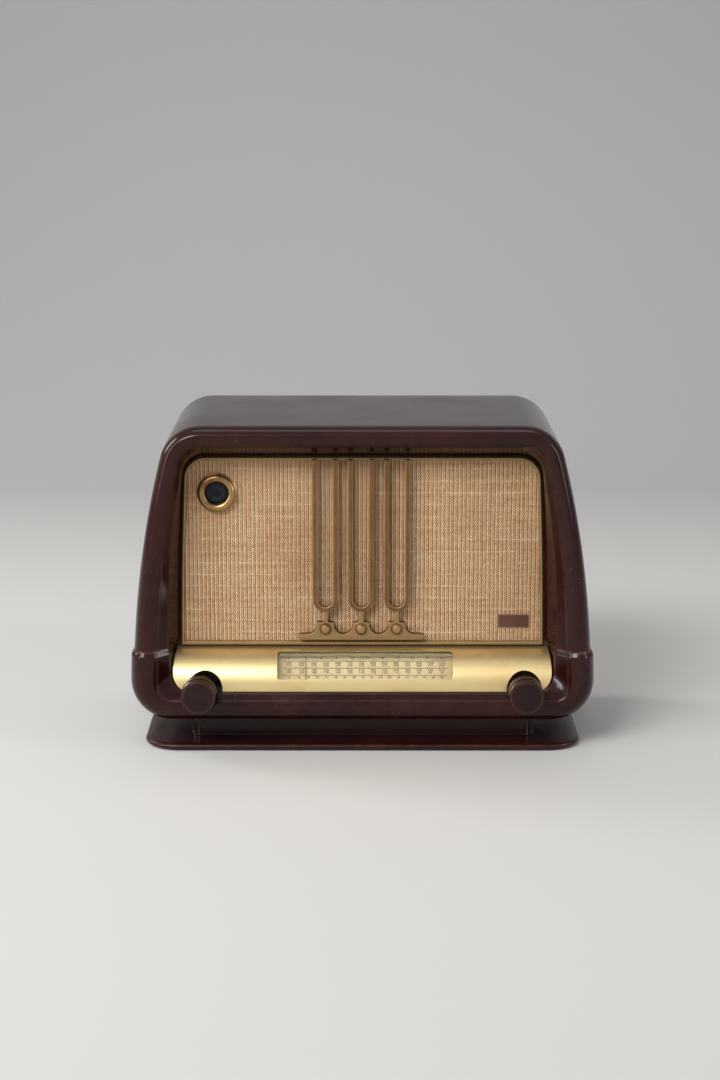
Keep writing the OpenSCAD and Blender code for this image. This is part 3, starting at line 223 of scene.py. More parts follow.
def turned(profile: Array, at: Triple, along: Along = Along.DEPTH, closed: bool = False, steps: int = 96,
           worn: Array | None = None) -> Shell:
    """Turn a profile about an axis: x = r cos a, side = r sin a, and the profile's second number runs along.

    Args:
        profile: Rows of radius and place along the axis. An open profile starts and ends near the axis.
        at: Place of the axis in millimetres.
        along: Which way the axis points.
        closed: Whether the profile is a closed outline, as of a ring.
        steps: Points round the axis.
        worn: How worn each place of the profile is; on the knob rims it also holds painted highlight.

    Returns:
        The closed skin.
    """
    angle = np.linspace(0.0, 2.0 * math.pi, steps, endpoint=False)[None, :]
    radius = np.maximum(profile[:, :1], 1e-3)
    across, side, run = radius * np.cos(angle), radius * np.sin(angle), profile[:, 1:2]
    order = (across, run, side) if along is Along.DEPTH else (across, side, run)
    return tube_skin(side_by_side(*order) + np.array(at), closed, None if worn is None else worn[:, None])


def carried(path: Array, section: Array, up: Array, wrap: bool = False, edge: Array | None = None) -> Shell:
    """Carry a flat section along a path.

    At each place the section's first number runs along side = tangent x up, its second along side x tangent.

    Args:
        path: Places of the path.
        section: Rows of sideways and upward places of the section's outline, one set for all or for each.
        up: The upward direction, one for all or one for each place.
        wrap: Whether the path joins its own start.
        edge: How worn each place of the section is.

    Returns:
        The closed skin.
    """
    tangent = np.roll(path, -1, 0) - np.roll(path, 1, 0) if wrap else np.gradient(path, axis=0)
    tangent /= np.linalg.norm(tangent, axis=1, keepdims=True) + 1e-12
    side = np.cross(tangent, np.broadcast_to(up, path.shape))
    side /= np.linalg.norm(side, axis=1, keepdims=True) + 1e-12
    lift = np.cross(side, tangent)
    section = np.broadcast_to(section, (len(path), *section.shape[-2:]))
    rings = path[:, None] + side[:, None] * section[:, :, :1] + lift[:, None] * section[:, :, 1:]
    return tube_skin(rings, wrap, edge)


def pierced_sheet(front: Array, back: Array, keep: Array) -> Shell:
    """A sheet with holes: a front and a back grid, the cells that stay, and walls where a cell ends.

    Args:
        front: Points of the front side, as rows of points.
        back: Points of the back side, of the same shape.
        keep: For each cell of the grid, whether it stays.

    Returns:
        The closed skin.
    """
    m, n = front.shape[:2]
    number = np.arange(m * n).reshape(m, n)
    cells = grid_faces(m, n, False, False)[keep.reshape(-1)]
    gap = ~np.pad(keep, 1)
    a, b, c, d = number[:-1, :-1], number[:-1, 1:], number[1:, :-1], number[1:, 1:]
    walls = []
    for beside, start, end in ((gap[:-2, 1:-1], b, a), (gap[2:, 1:-1], c, d), (gap[1:-1, :-2], a, c),
                               (gap[1:-1, 2:], d, b)):
        first, last = start[keep & beside], end[keep & beside]
        walls.append(side_by_side(first, last, last + m * n, first + m * n))
    used = np.unique(np.concatenate([cells.reshape(-1), cells.reshape(-1) + m * n]))
    renumber = np.zeros(2 * m * n, int)
    renumber[used] = np.arange(len(used))
    points = np.vstack([front.reshape(-1, 3), back.reshape(-1, 3)])[used]
    faces = np.vstack([cells, cells[:, ::-1] + m * n, *walls])
    return Shell(points, [renumber[faces]]).outward()


class Value:
    """A shader value: the output of a node, which answers to arithmetic."""

    def __init__(self, graph: Graph, socket: bpy.types.NodeSocket) -> None:
        """Keep the graph and the socket."""
        self.graph = graph
        self.socket = socket

    def math(self, operation: str, *others: Value | float) -> Value:
        """One Math node with this value first."""
        return self.graph.node("ShaderNodeMath", {"operation": operation}, [self, *others])

    def __add__(self, other: Value | float) -> Value:
        """Sum."""
        return self.math("ADD", other)

    __radd__ = __add__

    def __mul__(self, other: Value | float) -> Value:
        """Product."""
        return self.math("MULTIPLY", other)

    __rmul__ = __mul__

    def __sub__(self, other: Value | float) -> Value:
        """Difference."""
        return self.math("SUBTRACT", other)

    def __rsub__(self, other: Value | float) -> Value:
        """Difference, with this value taken away."""
        return self.graph.node("ShaderNodeMath", {"operation": "SUBTRACT"}, [other, self])

    def __lt__(self, other: Value | float) -> Value:
        """1 where this value is the smaller, else 0."""
        return self.math("LESS_THAN", other)

    def step(self, low: float, high: float) -> Value:
        """Smooth step from 0 at `low` to 1 at `high`.

        Args:
            low: Where the step starts. It may be the larger, and then the step runs downward.
            high: Where the step ends.

        Returns:
            The step, held at 0 and 1 outside.
        """
        first, last = sorted((low, high))
        rise = self.graph.node("ShaderNodeMapRange", {"interpolation_type": "SMOOTHSTEP"},
                               {"Value": self, 1: first, 2: last})
        return rise if low <= high else 1.0 - rise


@dataclass
class Place:
    """The three object coordinates of a surface point, in metres, and their vector."""

    vector: Value
    x: Value
    y: Value
    z: Value


class Graph:
    """The nodes of one material, or of the room, round its shader."""

    def __init__(self, owner: bpy.types.Material | bpy.types.World, shader: str = "Principled BSDF") -> None:
        """Switch the nodes on and find the shader.

        Args:
            owner: The material or world that has the nodes.
            shader: Name of its shader node.
        """
        owner.use_nodes = True
        self.tree = owner.node_tree
        self.shader = self.tree.nodes[shader]

    def node(self, kind: str, settings: dict[str, object] | None = None,
             values: list | dict | None = None, output: int | str = 0) -> Value:
        """Add one node.

        Args:
            kind: Blender's name of the node type.
            settings: The node's own options, set before its values.
            values: Inputs, as a list in order or by name or number. A Value is linked, the rest is set.
            output: Which output the result stands for.

        Returns:
            The chosen output.
        """
        made = self.tree.nodes.new(kind)
        for key, option in (settings or {}).items():
            setattr(made, key, option)
        items = values.items() if isinstance(values, dict) else enumerate(values or [])
        for key, value in items:
            self.join(made.inputs[key], value)
        return Value(self, made.outputs[output])

    def join(self, socket: bpy.types.NodeSocket, value: object) -> None:
        """Link a Value to a socket, or set the socket to a constant.

        Args:
            socket: The input.
            value: A Value, a number, or a tuple of numbers; a colour needs no fourth number.
        """
        if isinstance(value, Value):
            self.tree.links.new(value.socket, socket)
        elif isinstance(value, tuple) and socket.type == "RGBA" and len(value) == 3:
            socket.default_value = (*value, 1.0)
        else:
            socket.default_value = value

    def set(self, **sockets: object) -> None:
        """Give the shader's sockets their values; an underscore stands for a space."""
        for name, value in sockets.items():
            self.join(self.shader.inputs[name.replace("_", " ")], value)

    def place(self) -> Place:
        """Object coordinates of the surface.

        Returns:
            The vector and its three parts.
        """
        vector = self.node("ShaderNodeTexCoord", output="Object")
        split = self.node("ShaderNodeSeparateXYZ", values=[vector]).socket.node
        return Place(vector, *(Value(self, split.outputs[k]) for k in range(3)))

    def vector(self, *parts: Value | float) -> Value:
        """A vector from three values."""
        return self.node("ShaderNodeCombineXYZ", values=[*parts])

    def stretched(self, vector: Value, by: Triple) -> Value:
        """A vector times three numbers."""
        return self.node("ShaderNodeVectorMath", {"operation": "MULTIPLY"}, [vector, by])

    def noise(self, vector: Value, scale: float, detail: float = 3.0, roughness: float = 0.55) -> Value:
        """Cloudy noise between about 0.2 and 0.8."""
        return self.node("ShaderNodeTexNoise", values={
            "Vector": vector, "Scale": scale, "Detail": detail, "Roughness": roughness})

    def drawn_out(self, at: Place, density: Triple, detail: float = 3.0) -> Value:
        """Noise of a density for each direction, per metre, so it is drawn out along the thin ones."""
        return self.noise(self.stretched(at.vector, density), 1.0, detail)

    def flecks(self, at: Place, density: float, size: Pair, cloud: float, gate: Pair) -> Value:
        """1 on round spots in clouds, two densities per metre; `size` and `gate` are each step's ends."""
        away = self.node("ShaderNodeTexVoronoi", values={"Vector": at.vector, "Scale": density})
        return away.step(*size) * self.noise(at.vector, cloud, 2.0).step(*gate)

    def worn(self) -> Value:
        """How worn the mesh says that a point is, with the painted highlight on the cradle ledge and the knob
        rims.
        """
        return self.node("ShaderNodeAttribute", {"attribute_name": "edge"}, output="Fac")

    def blend(self, share: Value | float, first: Value | Colour, second: Value | Colour) -> Value:
        """Colour that goes from the first to the second with the share."""
        return self.node("ShaderNodeMix", {"data_type": "RGBA"}, {0: share, 6: first, 7: second}, 2)

    def bump(self, height: Value, reach: float, strength: float = 1.0) -> Value:
        """Normal of a surface with that height, times `reach` millimetres."""
        return self.node("ShaderNodeBump", values={
            "Strength": strength, "Distance": reach * MILLI, "Height": height})

    def scratches(self, where: Place, scale: float, stretch: float, thin: float) -> Value:
        """Fine straight scratches in two directions: the zero line of noise drawn out along each.

        Args:
            where: Object coordinates.
            scale: Density across the scratch.
            stretch: How many times longer than wide.
            thin: Half width of the zero line.

        Returns:
            1 on a scratch, 0 beside it.
        """
        total: Value | float = 0.0
        for turn in (0.35, 1.9):
            across = where.x * math.cos(turn) + where.z * math.sin(turn) + where.y * 0.7
            along = where.z * math.cos(turn) - where.x * math.sin(turn) + where.y * 0.3
            drawn = self.noise(self.vector(across * stretch, along, where.y), scale / stretch * 4.0, 1.0)
            line = (drawn - 0.5).math("ABSOLUTE").step(thin, thin * 0.3)
            gate = self.noise(where.vector, 31.0 + 9.0 * turn, 1.0).step(0.52, 0.62)
            total = line * gate + total
        return total


MADE: dict[str, bpy.types.Material] = {}


@dataclass(frozen=True)
class Finish:
    """A surface finish. Its subclasses say how the shader is dressed."""

    name: str

    def dress(self, g: Graph) -> None:
        """Give the shader its values."""
        raise NotImplementedError

    def material(self) -> bpy.types.Material:
        """The finish as a material, made once.

        Returns:
            The material.
        """
        if self.name not in MADE:
            MADE[self.name] = bpy.data.materials.new(self.name)
            self.dress(Graph(MADE[self.name]))
        return MADE[self.name]


def make_piece(name: str, shells: list[Shell], finish: Finish, stands_for: tuple[str, ...] = (),
               body: str = BODY, crease: float = 38.0) -> bpy.types.Object:
    """Join skins into one object that rides on a body.

    Args:
        name: Name of the piece.
        shells: Closed skins in millimetres.
        finish: Finish of the whole piece.
        stands_for: CAD nodes that it replaces.
        body: CAD body that it rides on.
        crease: Edges sharper than this many degrees stay sharp.

    Returns:
        The object, at the origin.
    """
    faces, start = [], 0
    for shell in shells:
        for face in shell.faces:
            faces += (face + start).tolist()
        start += len(shell.points)
    mesh = bpy.data.meshes.new(name)
    mesh.from_pydata(place(np.vstack([shell.points for shell in shells])).tolist(), [], faces)
    if any(shell.edge is not None for shell in shells):
        wear = [np.zeros(len(shell.points)) if shell.edge is None else shell.edge for shell in shells]
        mesh.attributes.new("edge", "FLOAT", "POINT").data.foreach_set("value", np.concatenate(wear))
    mesh.polygons.foreach_set("use_smooth", np.ones(len(mesh.polygons), bool))
    mesh.set_sharp_from_angle(angle=math.radians(crease))
    mesh.validate()
    piece = bpy.data.objects.new(name, mesh)
    bpy.context.scene.collection.objects.link(piece)
    mesh.materials.append(finish.material())
    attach(piece, body)
    if stands_for:
        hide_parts(*stands_for)
    LOG.info("%s: %d faces, stands for %s", name, len(faces), ", ".join(stands_for) or "nothing")
    return piece


@dataclass(frozen=True)
class Moulding(Finish):
    """Polished phenolic moulding: cloudy colour, hair scratches, rubbed edges, painted highlight on the ledge
    and rims where the mesh says so, and a few pale specks.

    Args:
        deep: Colour of the bulk.
        warm: Colour of the lighter clouds.
        rubbed: Colour where hands have worn it, and of the painted highlight on the cabinet's cradle ledge
            and the knob rims.
        rough: Roughness of a clean polish.
        specks: Share of small pale specks, 0 to 1.
        speck: Colour of the specks.
        gloss: Strength of the mirror image, 0.5 for an ordinary plastic.
    """

    deep: Colour = srgb(27, 8, 7)
    warm: Colour = srgb(44, 13, 11)
    # The rubbed colour also paints the highlight along the cabinet's cradle ledge.
    rubbed: Colour = srgb(112, 70, 60)
    rough: float = 0.14
    specks: float = 0.35
    speck: Colour = srgb(176, 150, 136)
    gloss: float = 0.24

    def dress(self, g: Graph) -> None:
        """Clouds of two sizes mix the colour; scratches lift the roughness and the relief.

        Args:
            g: Nodes of the material.
        """
        at = g.place()
        clouds = g.noise(at.vector, 9.0, 2.0).step(0.3, 0.7)
        grain = g.noise(at.vector, 900.0, 2.0)
        hair = g.scratches(at, 90.0, 0.05, 0.008)
        # The worn attribute holds real edge wear and, on the cradle ledge and the knob rims, painted
        # highlight; both take the rubbed colour.
        wear = g.worn() * (g.noise(at.vector, 70.0, 5.0).step(0.3, 0.62) * 0.7 + 0.3)
        flecks = g.flecks(at, 210.0, (0.16, 0.05), 22.0, (0.56, 0.68))
        colour = g.blend(clouds, self.deep, self.warm)
        colour = g.blend(wear * 0.75, colour, self.rubbed)
        colour = g.blend(hair * 0.12, colour, self.rubbed)
        colour = g.blend(flecks * self.specks, colour, self.speck)
        rough = grain * 0.06 + (self.rough - 0.03) + g.noise(at.vector, 9.0, 3.0).step(0.45, 0.7) * 0.08
        relief = grain * 0.2 + g.noise(at.vector, 26.0, 1.0) * 1.2 - hair * 0.3
        g.set(Base_Color=colour, Roughness=rough + wear * 0.12 + hair * 0.1, Specular_IOR_Level=self.gloss,
              Normal=g.bump(relief, 0.02, 0.4))


@dataclass(frozen=True)
class Weave(Finish):
    """Radio cloth: columns of pale slanted stitches, in pairs that lean against each other, on a tan ground.

    Args:
        pale: Colour of the stitches.
        tan: Colour of the ground threads.
        dark: Colour of the gaps.
        pitch: Distance of two columns in millimetres.
        rise: Distance of two stitches in a column.
        pick_gap: Distance of two thin level threads.
        stain: Colour of faint old stains.
    """

    pale: Colour = srgb(255, 238, 196)
    tan: Colour = srgb(178, 114, 64)
    dark: Colour = srgb(82, 46, 22)
    pitch: float = 2.25
    rise: float = 2.6
    pick_gap: float = 13.0
    stain: Colour = srgb(150, 104, 62)

    def dress(self, g: Graph) -> None:
        """Stitches are round spots about the middle of each cell of a leaning grid.

        With f the place across a column, lean +1 or -1 from column to column and
        h = fract(z / rise + 1.1 lean f + column / 2) - 1/2, a stitch lies where 5 f^2 + 6 h^2 is under 1.
        White noise varies stitch and column.

        Args:
            g: Nodes of the material.
        """
        at = g.place()
        wander = g.drawn_out(at, (60.0, 0.0, 22.0), 2.0) - 0.5
        sway = g.drawn_out(at, (22.0, 0.0, 120.0), 2.0) - 0.5
        u = at.x * (PER_METRE / self.pitch) + wander * 0.8
        column = u.math("FLOOR")
        lean = (column * 0.5).math("FRACT") * 4.0 - 1.0
        across = u.math("FRACT") - 0.5 + lean * 0.06
        v = at.z * (PER_METRE / self.rise) + sway * 1.2 + lean * across * 1.1 + column * 0.5
        row = v.math("FLOOR")
        rest = v.math("FRACT") - 0.5
        stitch = (across * across * 5.0 + rest * rest * 6.0).step(1.0, 0.5)
        ground = (at.z * (PER_METRE / self.rise) * 2.0 * math.pi).math("SINE").math("ABSOLUTE")
        row_line = (at.z * (PER_METRE / self.pick_gap) + sway * 0.3).math("FRACT") - 0.5
        pick = row_line.math("ABSOLUTE").step(0.06, 0.03)
        stitch = stitch.math("MAXIMUM", pick * g.noise(at.vector, 60.0, 2.0).step(0.35, 0.65) * 0.5)
        chance = g.node("ShaderNodeTexWhiteNoise", {"noise_dimensions": "2D"},
                        {"Vector": g.vector(column, row, 0.0)}, "Value")
        lone = g.node("ShaderNodeTexWhiteNoise", {"noise_dimensions": "1D"}, {"W": column}, "Value")
        streak = g.drawn_out(at, (300.0, 0.0, 9.0)).step(0.4, 0.66)
        band = g.drawn_out(at, (9.0, 0.0, 210.0)).step(0.42, 0.68)
        colour = g.blend(ground * 0.5 + streak * 0.2, self.dark, self.tan)
        pale = g.blend(chance * 0.3 + lone * 0.15 + band * 0.2 + lean * 0.14 + 0.1, self.pale, self.tan)
        colour = g.blend(stitch, colour, pale)
        colour = g.blend(g.noise(at.vector, 9.0).step(0.45, 0.72) * 0.2, colour, self.stain)
        g.set(Base_Color=colour, Roughness=0.9, Specular_IOR_Level=0.2,
              Normal=g.bump(stitch * 0.8 + ground * 0.2, 0.5, 0.7))


@dataclass(frozen=True)
class WornPaint(Finish):
    """Dull metallic paint that has gone brown in patches and thin on the high places.

    Args:
        paint: Colour of the good paint.
        aged: Colour of the browned paint.
        metal: How metallic it is.
        rough: Roughness.
        spot: Colour of small spots.
        rubbed: Colour where it is worn thin.
    """

    paint: Colour = srgb(124, 86, 46)
    aged: Colour = srgb(74, 48, 26)
    metal: float = 0.55
    rough: float = 0.42
    spot: Colour = srgb(74, 50, 30)
    rubbed: Colour = srgb(206, 176, 120)

    def dress(self, g: Graph) -> None:
        """Patches of two sizes mix the two colours; fine grain lifts the relief.

        Args:
            g: Nodes of the material.
        """
        at = g.place()
        patches = g.noise(at.vector, 55.0, 5.0, 0.65).step(0.36, 0.68)
        spots = g.flecks(at, 420.0, (0.3, 0.12), 130.0, (0.5, 0.64))
        colour = g.blend(patches * 0.5, self.paint, self.aged)
        colour = g.blend(spots * 0.6, colour, self.spot)
        colour = g.blend(g.worn() * 0.5, colour, self.rubbed)
        grain = g.noise(at.vector, 1500.0, 2.0)
        g.set(Base_Color=colour, Metallic=self.metal,
              Roughness=grain * 0.12 + (self.rough - 0.06) + patches * 0.1,
              Normal=g.bump(grain + patches * 1.5, 0.03, 0.5))


class Lay(Enum):
    """Direction of the fine marks that a tool or rolling left on metal."""

    ACROSS = (900.0, 12.0, 12.0)
    ALONG = (12.0, 900.0, 900.0)
    NONE = (260.0, 260.0, 260.0)


@dataclass(frozen=True)
class Metal(Finish):
    """Bare or plated metal with rolling marks, dull patches and a little tarnish.

    Args:
        bright: Colour of the clean metal.
        tarnish: Colour of the patches.
        rough: Roughness of the clean metal.
        lay: Direction of the marks.
        patchy: Share of tarnish.
        spot: Colour of small dark spots.
    """

    bright: Colour = srgb(198, 196, 190)
    tarnish: Colour = srgb(140, 134, 124)
    rough: float = 0.32
    lay: Lay = Lay.NONE
    patchy: float = 0.5
    spot: Colour = srgb(84, 66, 44)

    def dress(self, g: Graph) -> None:
        """Stretched noise gives the marks, cloudy noise the patches.

        Args:
            g: Nodes of the material.
        """
        at = g.place()
        marks = g.drawn_out(at, self.lay.value)
        patches = g.noise(at.vector, 34.0, 5.0, 0.62).step(0.42, 0.72)
        spots = g.flecks(at, 300.0, (0.2, 0.06), 60.0, (0.52, 0.66))
        colour = g.blend(patches * self.patchy, self.bright, self.tarnish)
        colour = g.blend(spots * 0.5 * self.patchy, colour, self.spot)
        g.set(Base_Color=colour, Metallic=1.0,
              Roughness=marks * 0.16 + (self.rough - 0.08) + patches * 0.1 * self.patchy,
              Normal=g.bump(marks, 0.012, 0.5))


@dataclass(frozen=True)
class Matter(Finish):
    """Dull stuff such as rubber, felt, board, laminate or paper: two colours in grains, with a rough relief.

    Args:
        first: Main colour.
        second: Colour of the grains.
        grain: Density of the grains, per metre.
        rough: Roughness.
        relief: Depth of the relief in millimetres.
        stretch: How the grains are drawn out.
        sheen: Weight of the soft sheen of fibres.
    """

    first: Colour = srgb(40, 38, 36)
    second: Colour = srgb(60, 56, 52)
    grain: float = 400.0
    rough: float = 0.8
    relief: float = 0.06
    stretch: Triple = (1.0, 1.0, 1.0)
    sheen: float = 0.0

    def dress(self, g: Graph) -> None:
        """Fine noise mixes the colours and lifts the relief; slow noise shades it.

        Args:
            g: Nodes of the material.
        """
        at = g.place()
        fine = g.noise(g.stretched(at.vector, self.stretch), self.grain, 4.0, 0.6)
        slow = g.noise(at.vector, 18.0, 3.0).step(0.4, 0.7)
        colour = g.blend(fine.step(0.35, 0.68), self.first, self.second)
        colour = g.blend(slow * 0.25, colour, self.first)
        g.set(Base_Color=colour, Roughness=fine * 0.1 + (self.rough - 0.05), Sheen_Weight=self.sheen,
              Normal=g.bump(fine, self.relief, 0.8))


@dataclass(frozen=True)
class Plywood(Finish):
    """Thin plywood: drawn-out grain on the faces, dark glue lines on the edges, and a dark front: black
    paint, and painted shade of the recess round the cloth.

    Args:
        light: Colour between the rings.
        ring: Colour of the rings.
        pore: Colour of the pores.
        glue: Colour of the glue lines.
        paint: Colour of the dark front: black paint that also serves as painted shade in the recess between
            the bead and the moulding.
        painted_to: Depth in millimetres up to which the board is painted dark.
        ply: Thickness of two plies in millimetres.
    """

    light: Colour = srgb(176, 138, 92)
    ring: Colour = srgb(146, 106, 66)
    pore: Colour = srgb(104, 70, 42)
    glue: Colour = srgb(110, 76, 46)
    paint: Colour = srgb(30, 22, 18)
    painted_to: float = 42.6
    ply: float = 3.2

    def dress(self, g: Graph) -> None:
        """Rings are a wave of noise-bent height; plies are a wave of depth.

        Args:
            g: Nodes of the material.
        """
        at = g.place()
        bend = g.drawn_out(at, (5.0, 1.0, 42.0), 4.0)
        rings = (bend * 42.0).math("SINE") * 0.5 + 0.5
        pores = g.drawn_out(at, (60.0, 500.0, 1800.0), 2.0).step(0.5, 0.68)
        # The dark front is black paint, and also painted shade of the recess between the bead and the
        # moulding.
        front = at.y < (FRONT_Y + self.painted_to) * MILLI
        colour = g.blend(rings.step(0.2, 0.9), self.light, self.ring)
        colour = g.blend(pores * 0.5, colour, self.pore)
        plies = (at.y * (2.0 * math.pi * PER_METRE / self.ply)).math("SINE").step(0.6, 0.9)
        colour = g.blend(plies * 0.35, colour, self.glue)
        g.set(Base_Color=g.blend(front * 0.92, colour, self.paint), Roughness=0.72,
              Normal=g.bump(rings * 0.5 - pores, 0.05, 0.5))


@dataclass(frozen=True)
class Stacked(Finish):
    """Layers seen edge on: the sheets of a core, or the turns of a winding.

    Args:
        light: Colour of a layer.
        shade: Colour between two layers, and of dull patches.
        axis: Direction in which the layers follow each other.
        pitch: Distance of two layers in millimetres.
        rough: Roughness.
        metal: How metallic it is.
    """

    light: Colour = srgb(86, 84, 82)
    shade: Colour = srgb(34, 33, 33)
    axis: Triple = (0.0, 1.0, 0.0)
    pitch: float = 0.7
    rough: float = 0.5
    metal: float = 0.4

    def dress(self, g: Graph) -> None:
        """Layers are |sin(pi s / pitch)| of the distance s along the axis.

        Args:
            g: Nodes of the material.
        """
        at = g.place()
        run = g.node("ShaderNodeVectorMath", {"operation": "DOT_PRODUCT"}, [at.vector, self.axis], "Value")
        layer = (run * (PER_METRE * math.pi / self.pitch)).math("SINE").math("ABSOLUTE")
        cloud = g.noise(at.vector, 70.0, 4.0).step(0.35, 0.7)
        colour = g.blend(layer.step(0.1, 0.8), self.shade, self.light)
        g.set(Base_Color=g.blend(cloud * 0.4, colour, self.shade), Metallic=self.metal,
              Roughness=self.rough, Normal=g.bump(layer, 0.12, 0.7))


@dataclass(frozen=True)
class ClearGlass(Finish):
    """Glass with a faint tint, a little haze and, where wanted, a silvered or dark backing.

    Args:
        tint: Colour seen through it.
        silver_above: Height in millimetres above which the inside is silvered, if it is.
        haze: Roughness.
        clear: Share of light let through.
        silver: Colour of the silvering.
    """

    tint: Colour = (0.95, 0.97, 0.95)
    silver_above: float = 1.0e6
    haze: float = 0.04
    clear: float = 1.0
    silver: Colour = srgb(120, 124, 126)

    def dress(self, g: Graph) -> None:
        """The silvering is a smooth step of height, roughened by noise; smears lift the haze.

        Args:
            g: Nodes of the material.
        """
        at = g.place()
        smear = g.noise(at.vector, 45.0, 4.0).step(0.5, 0.75)
        edge = g.noise(at.vector, 120.0) * 0.006 - 0.003
        level = self.silver_above * MILLI
        silver = (at.z + edge).step(level - 0.003, level + 0.003)
        g.set(Base_Color=g.blend(silver, self.tint, self.silver), Metallic=silver * 0.9,
              Roughness=smear * 0.06 + self.haze, Transmission_Weight=self.clear, IOR=1.5)


@dataclass(frozen=True)
class EyeScreen(Finish):
    """Dark glass of the tuning eye: a soft grey-green fan on a nearly black screen.

    Args:
        middle: Sideways place and height of the middle in millimetres.
        screen: Colour of the screen.
        fan: Colour of the fan.
        cap: Colour of the cap in the middle.
        haze: Colour of the dimming clouds.
    """

    middle: Pair = EYE
    screen: Colour = srgb(12, 17, 22)
    fan: Colour = srgb(38, 50, 58)
    cap: Colour = srgb(9, 10, 11)
    haze: Colour = srgb(22, 27, 32)

    def dress(self, g: Graph) -> None:
        """Distance from the middle draws the cap and the ring; noise dims it.

        Args:
            g: Nodes of the material.
        """
        at = g.place()
        dx, dz = at.x * PER_METRE - self.middle[0], at.z * PER_METRE - self.middle[1]
        away = (dx * dx + dz * dz).math("SQRT")
        ring = away.step(4.2, 4.8) * away.step(9.6, 8.4)
        fan = dz.math("ARCTAN2", dx).math("ABSOLUTE").step(2.2, 2.0)
        dim = g.noise(at.vector, 300.0)
        colour = g.blend(ring * fan * 0.4, self.screen, self.fan)
        colour = g.blend(away.step(4.4, 3.9) * 0.7, colour, self.cap)
        g.set(Base_Color=g.blend(dim * 0.2, colour, self.haze), Roughness=dim * 0.08 + 0.1,
              Specular_IOR_Level=0.2)


@dataclass(frozen=True)
class ScaleEnamel(Finish):
    """Cream-yellow enamel of the dial scale, aged towards its ends.

    Args:
        middle: Sideways place of the middle in millimetres.
        cream: Colour of the clean enamel.
        aged: Colour of the browned enamel.
    """

    middle: float = WINDOW_X
    cream: Colour = srgb(255, 230, 172)
    aged: Colour = srgb(240, 196, 132)

    def dress(self, g: Graph) -> None:
        """Slow noise and the distance from the middle brown the enamel; grain gives it a soft relief.

        Args:
            g: Nodes of the material.
        """
        at = g.place()
        aged = g.noise(at.vector, 16.0, 4.0).step(0.4, 0.75)
        ends = (at.x * PER_METRE - self.middle).math("ABSOLUTE").step(40.0, 110.0)
        grain = g.noise(at.vector, 1300.0, 2.0)
        colour = g.blend(aged * 0.5 + ends * 0.35, self.cream, self.aged)
        g.set(Base_Color=colour, Roughness=grain * 0.1 + 0.42, Normal=g.bump(grain, 0.01, 0.4))


@dataclass(frozen=True)
class BrushedDial(Finish):
    """Satin brass lacquer of the dial panel: lengthwise hair lines, fingermarks and thin browning.

    Args:
        bright: Clean lacquer.
        brown: Aged lacquer.
        pit: Colour of small pits.
    """

    bright: Colour = srgb(240, 216, 158)
    brown: Colour = srgb(204, 168, 112)
    pit: Colour = srgb(112, 84, 46)

    def dress(self, g: Graph) -> None:
        """Hair lines are noise drawn out along x; clouds brown it; small pits dot it.

        Args:
            g: Nodes of the material.
        """
        at = g.place()
        hair = g.drawn_out(at, (8.0, 1500.0, 1500.0))
        clouds = g.noise(g.stretched(at.vector, (0.5, 1.0, 1.0)), 30.0, 5.0, 0.6).step(0.42, 0.74)
        pits = g.flecks(at, 330.0, (0.14, 0.05), 40.0, (0.5, 0.66))
        colour = g.blend(clouds * 0.5, self.bright, self.brown)
        colour = g.blend(pits * 0.5, colour, self.pit)
        g.set(Base_Color=colour, Metallic=0.9, Roughness=hair * 0.08 + clouds * 0.06 + 0.3,
              Normal=g.bump(hair * 0.6 + g.noise(at.vector, 25.0, 2.0) * 5.0, 0.02, 0.5))


@dataclass(frozen=True)
class Steps:
    """Numbers of places along each stretch of a half loop of the cabinet front."""

    crown: int = 18
    corner: int = 36
    side: int = 64
    drops: tuple[float, ...] = tuple(np.linspace(6.0, -2.0, 29).tolist())
    low: int = 14
    foot: int = 18


COARSE = Steps(2, 9, 9, (6.0, 3.5, 1.8, 0.6, -0.6, -2.0), 3, 2)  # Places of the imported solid.


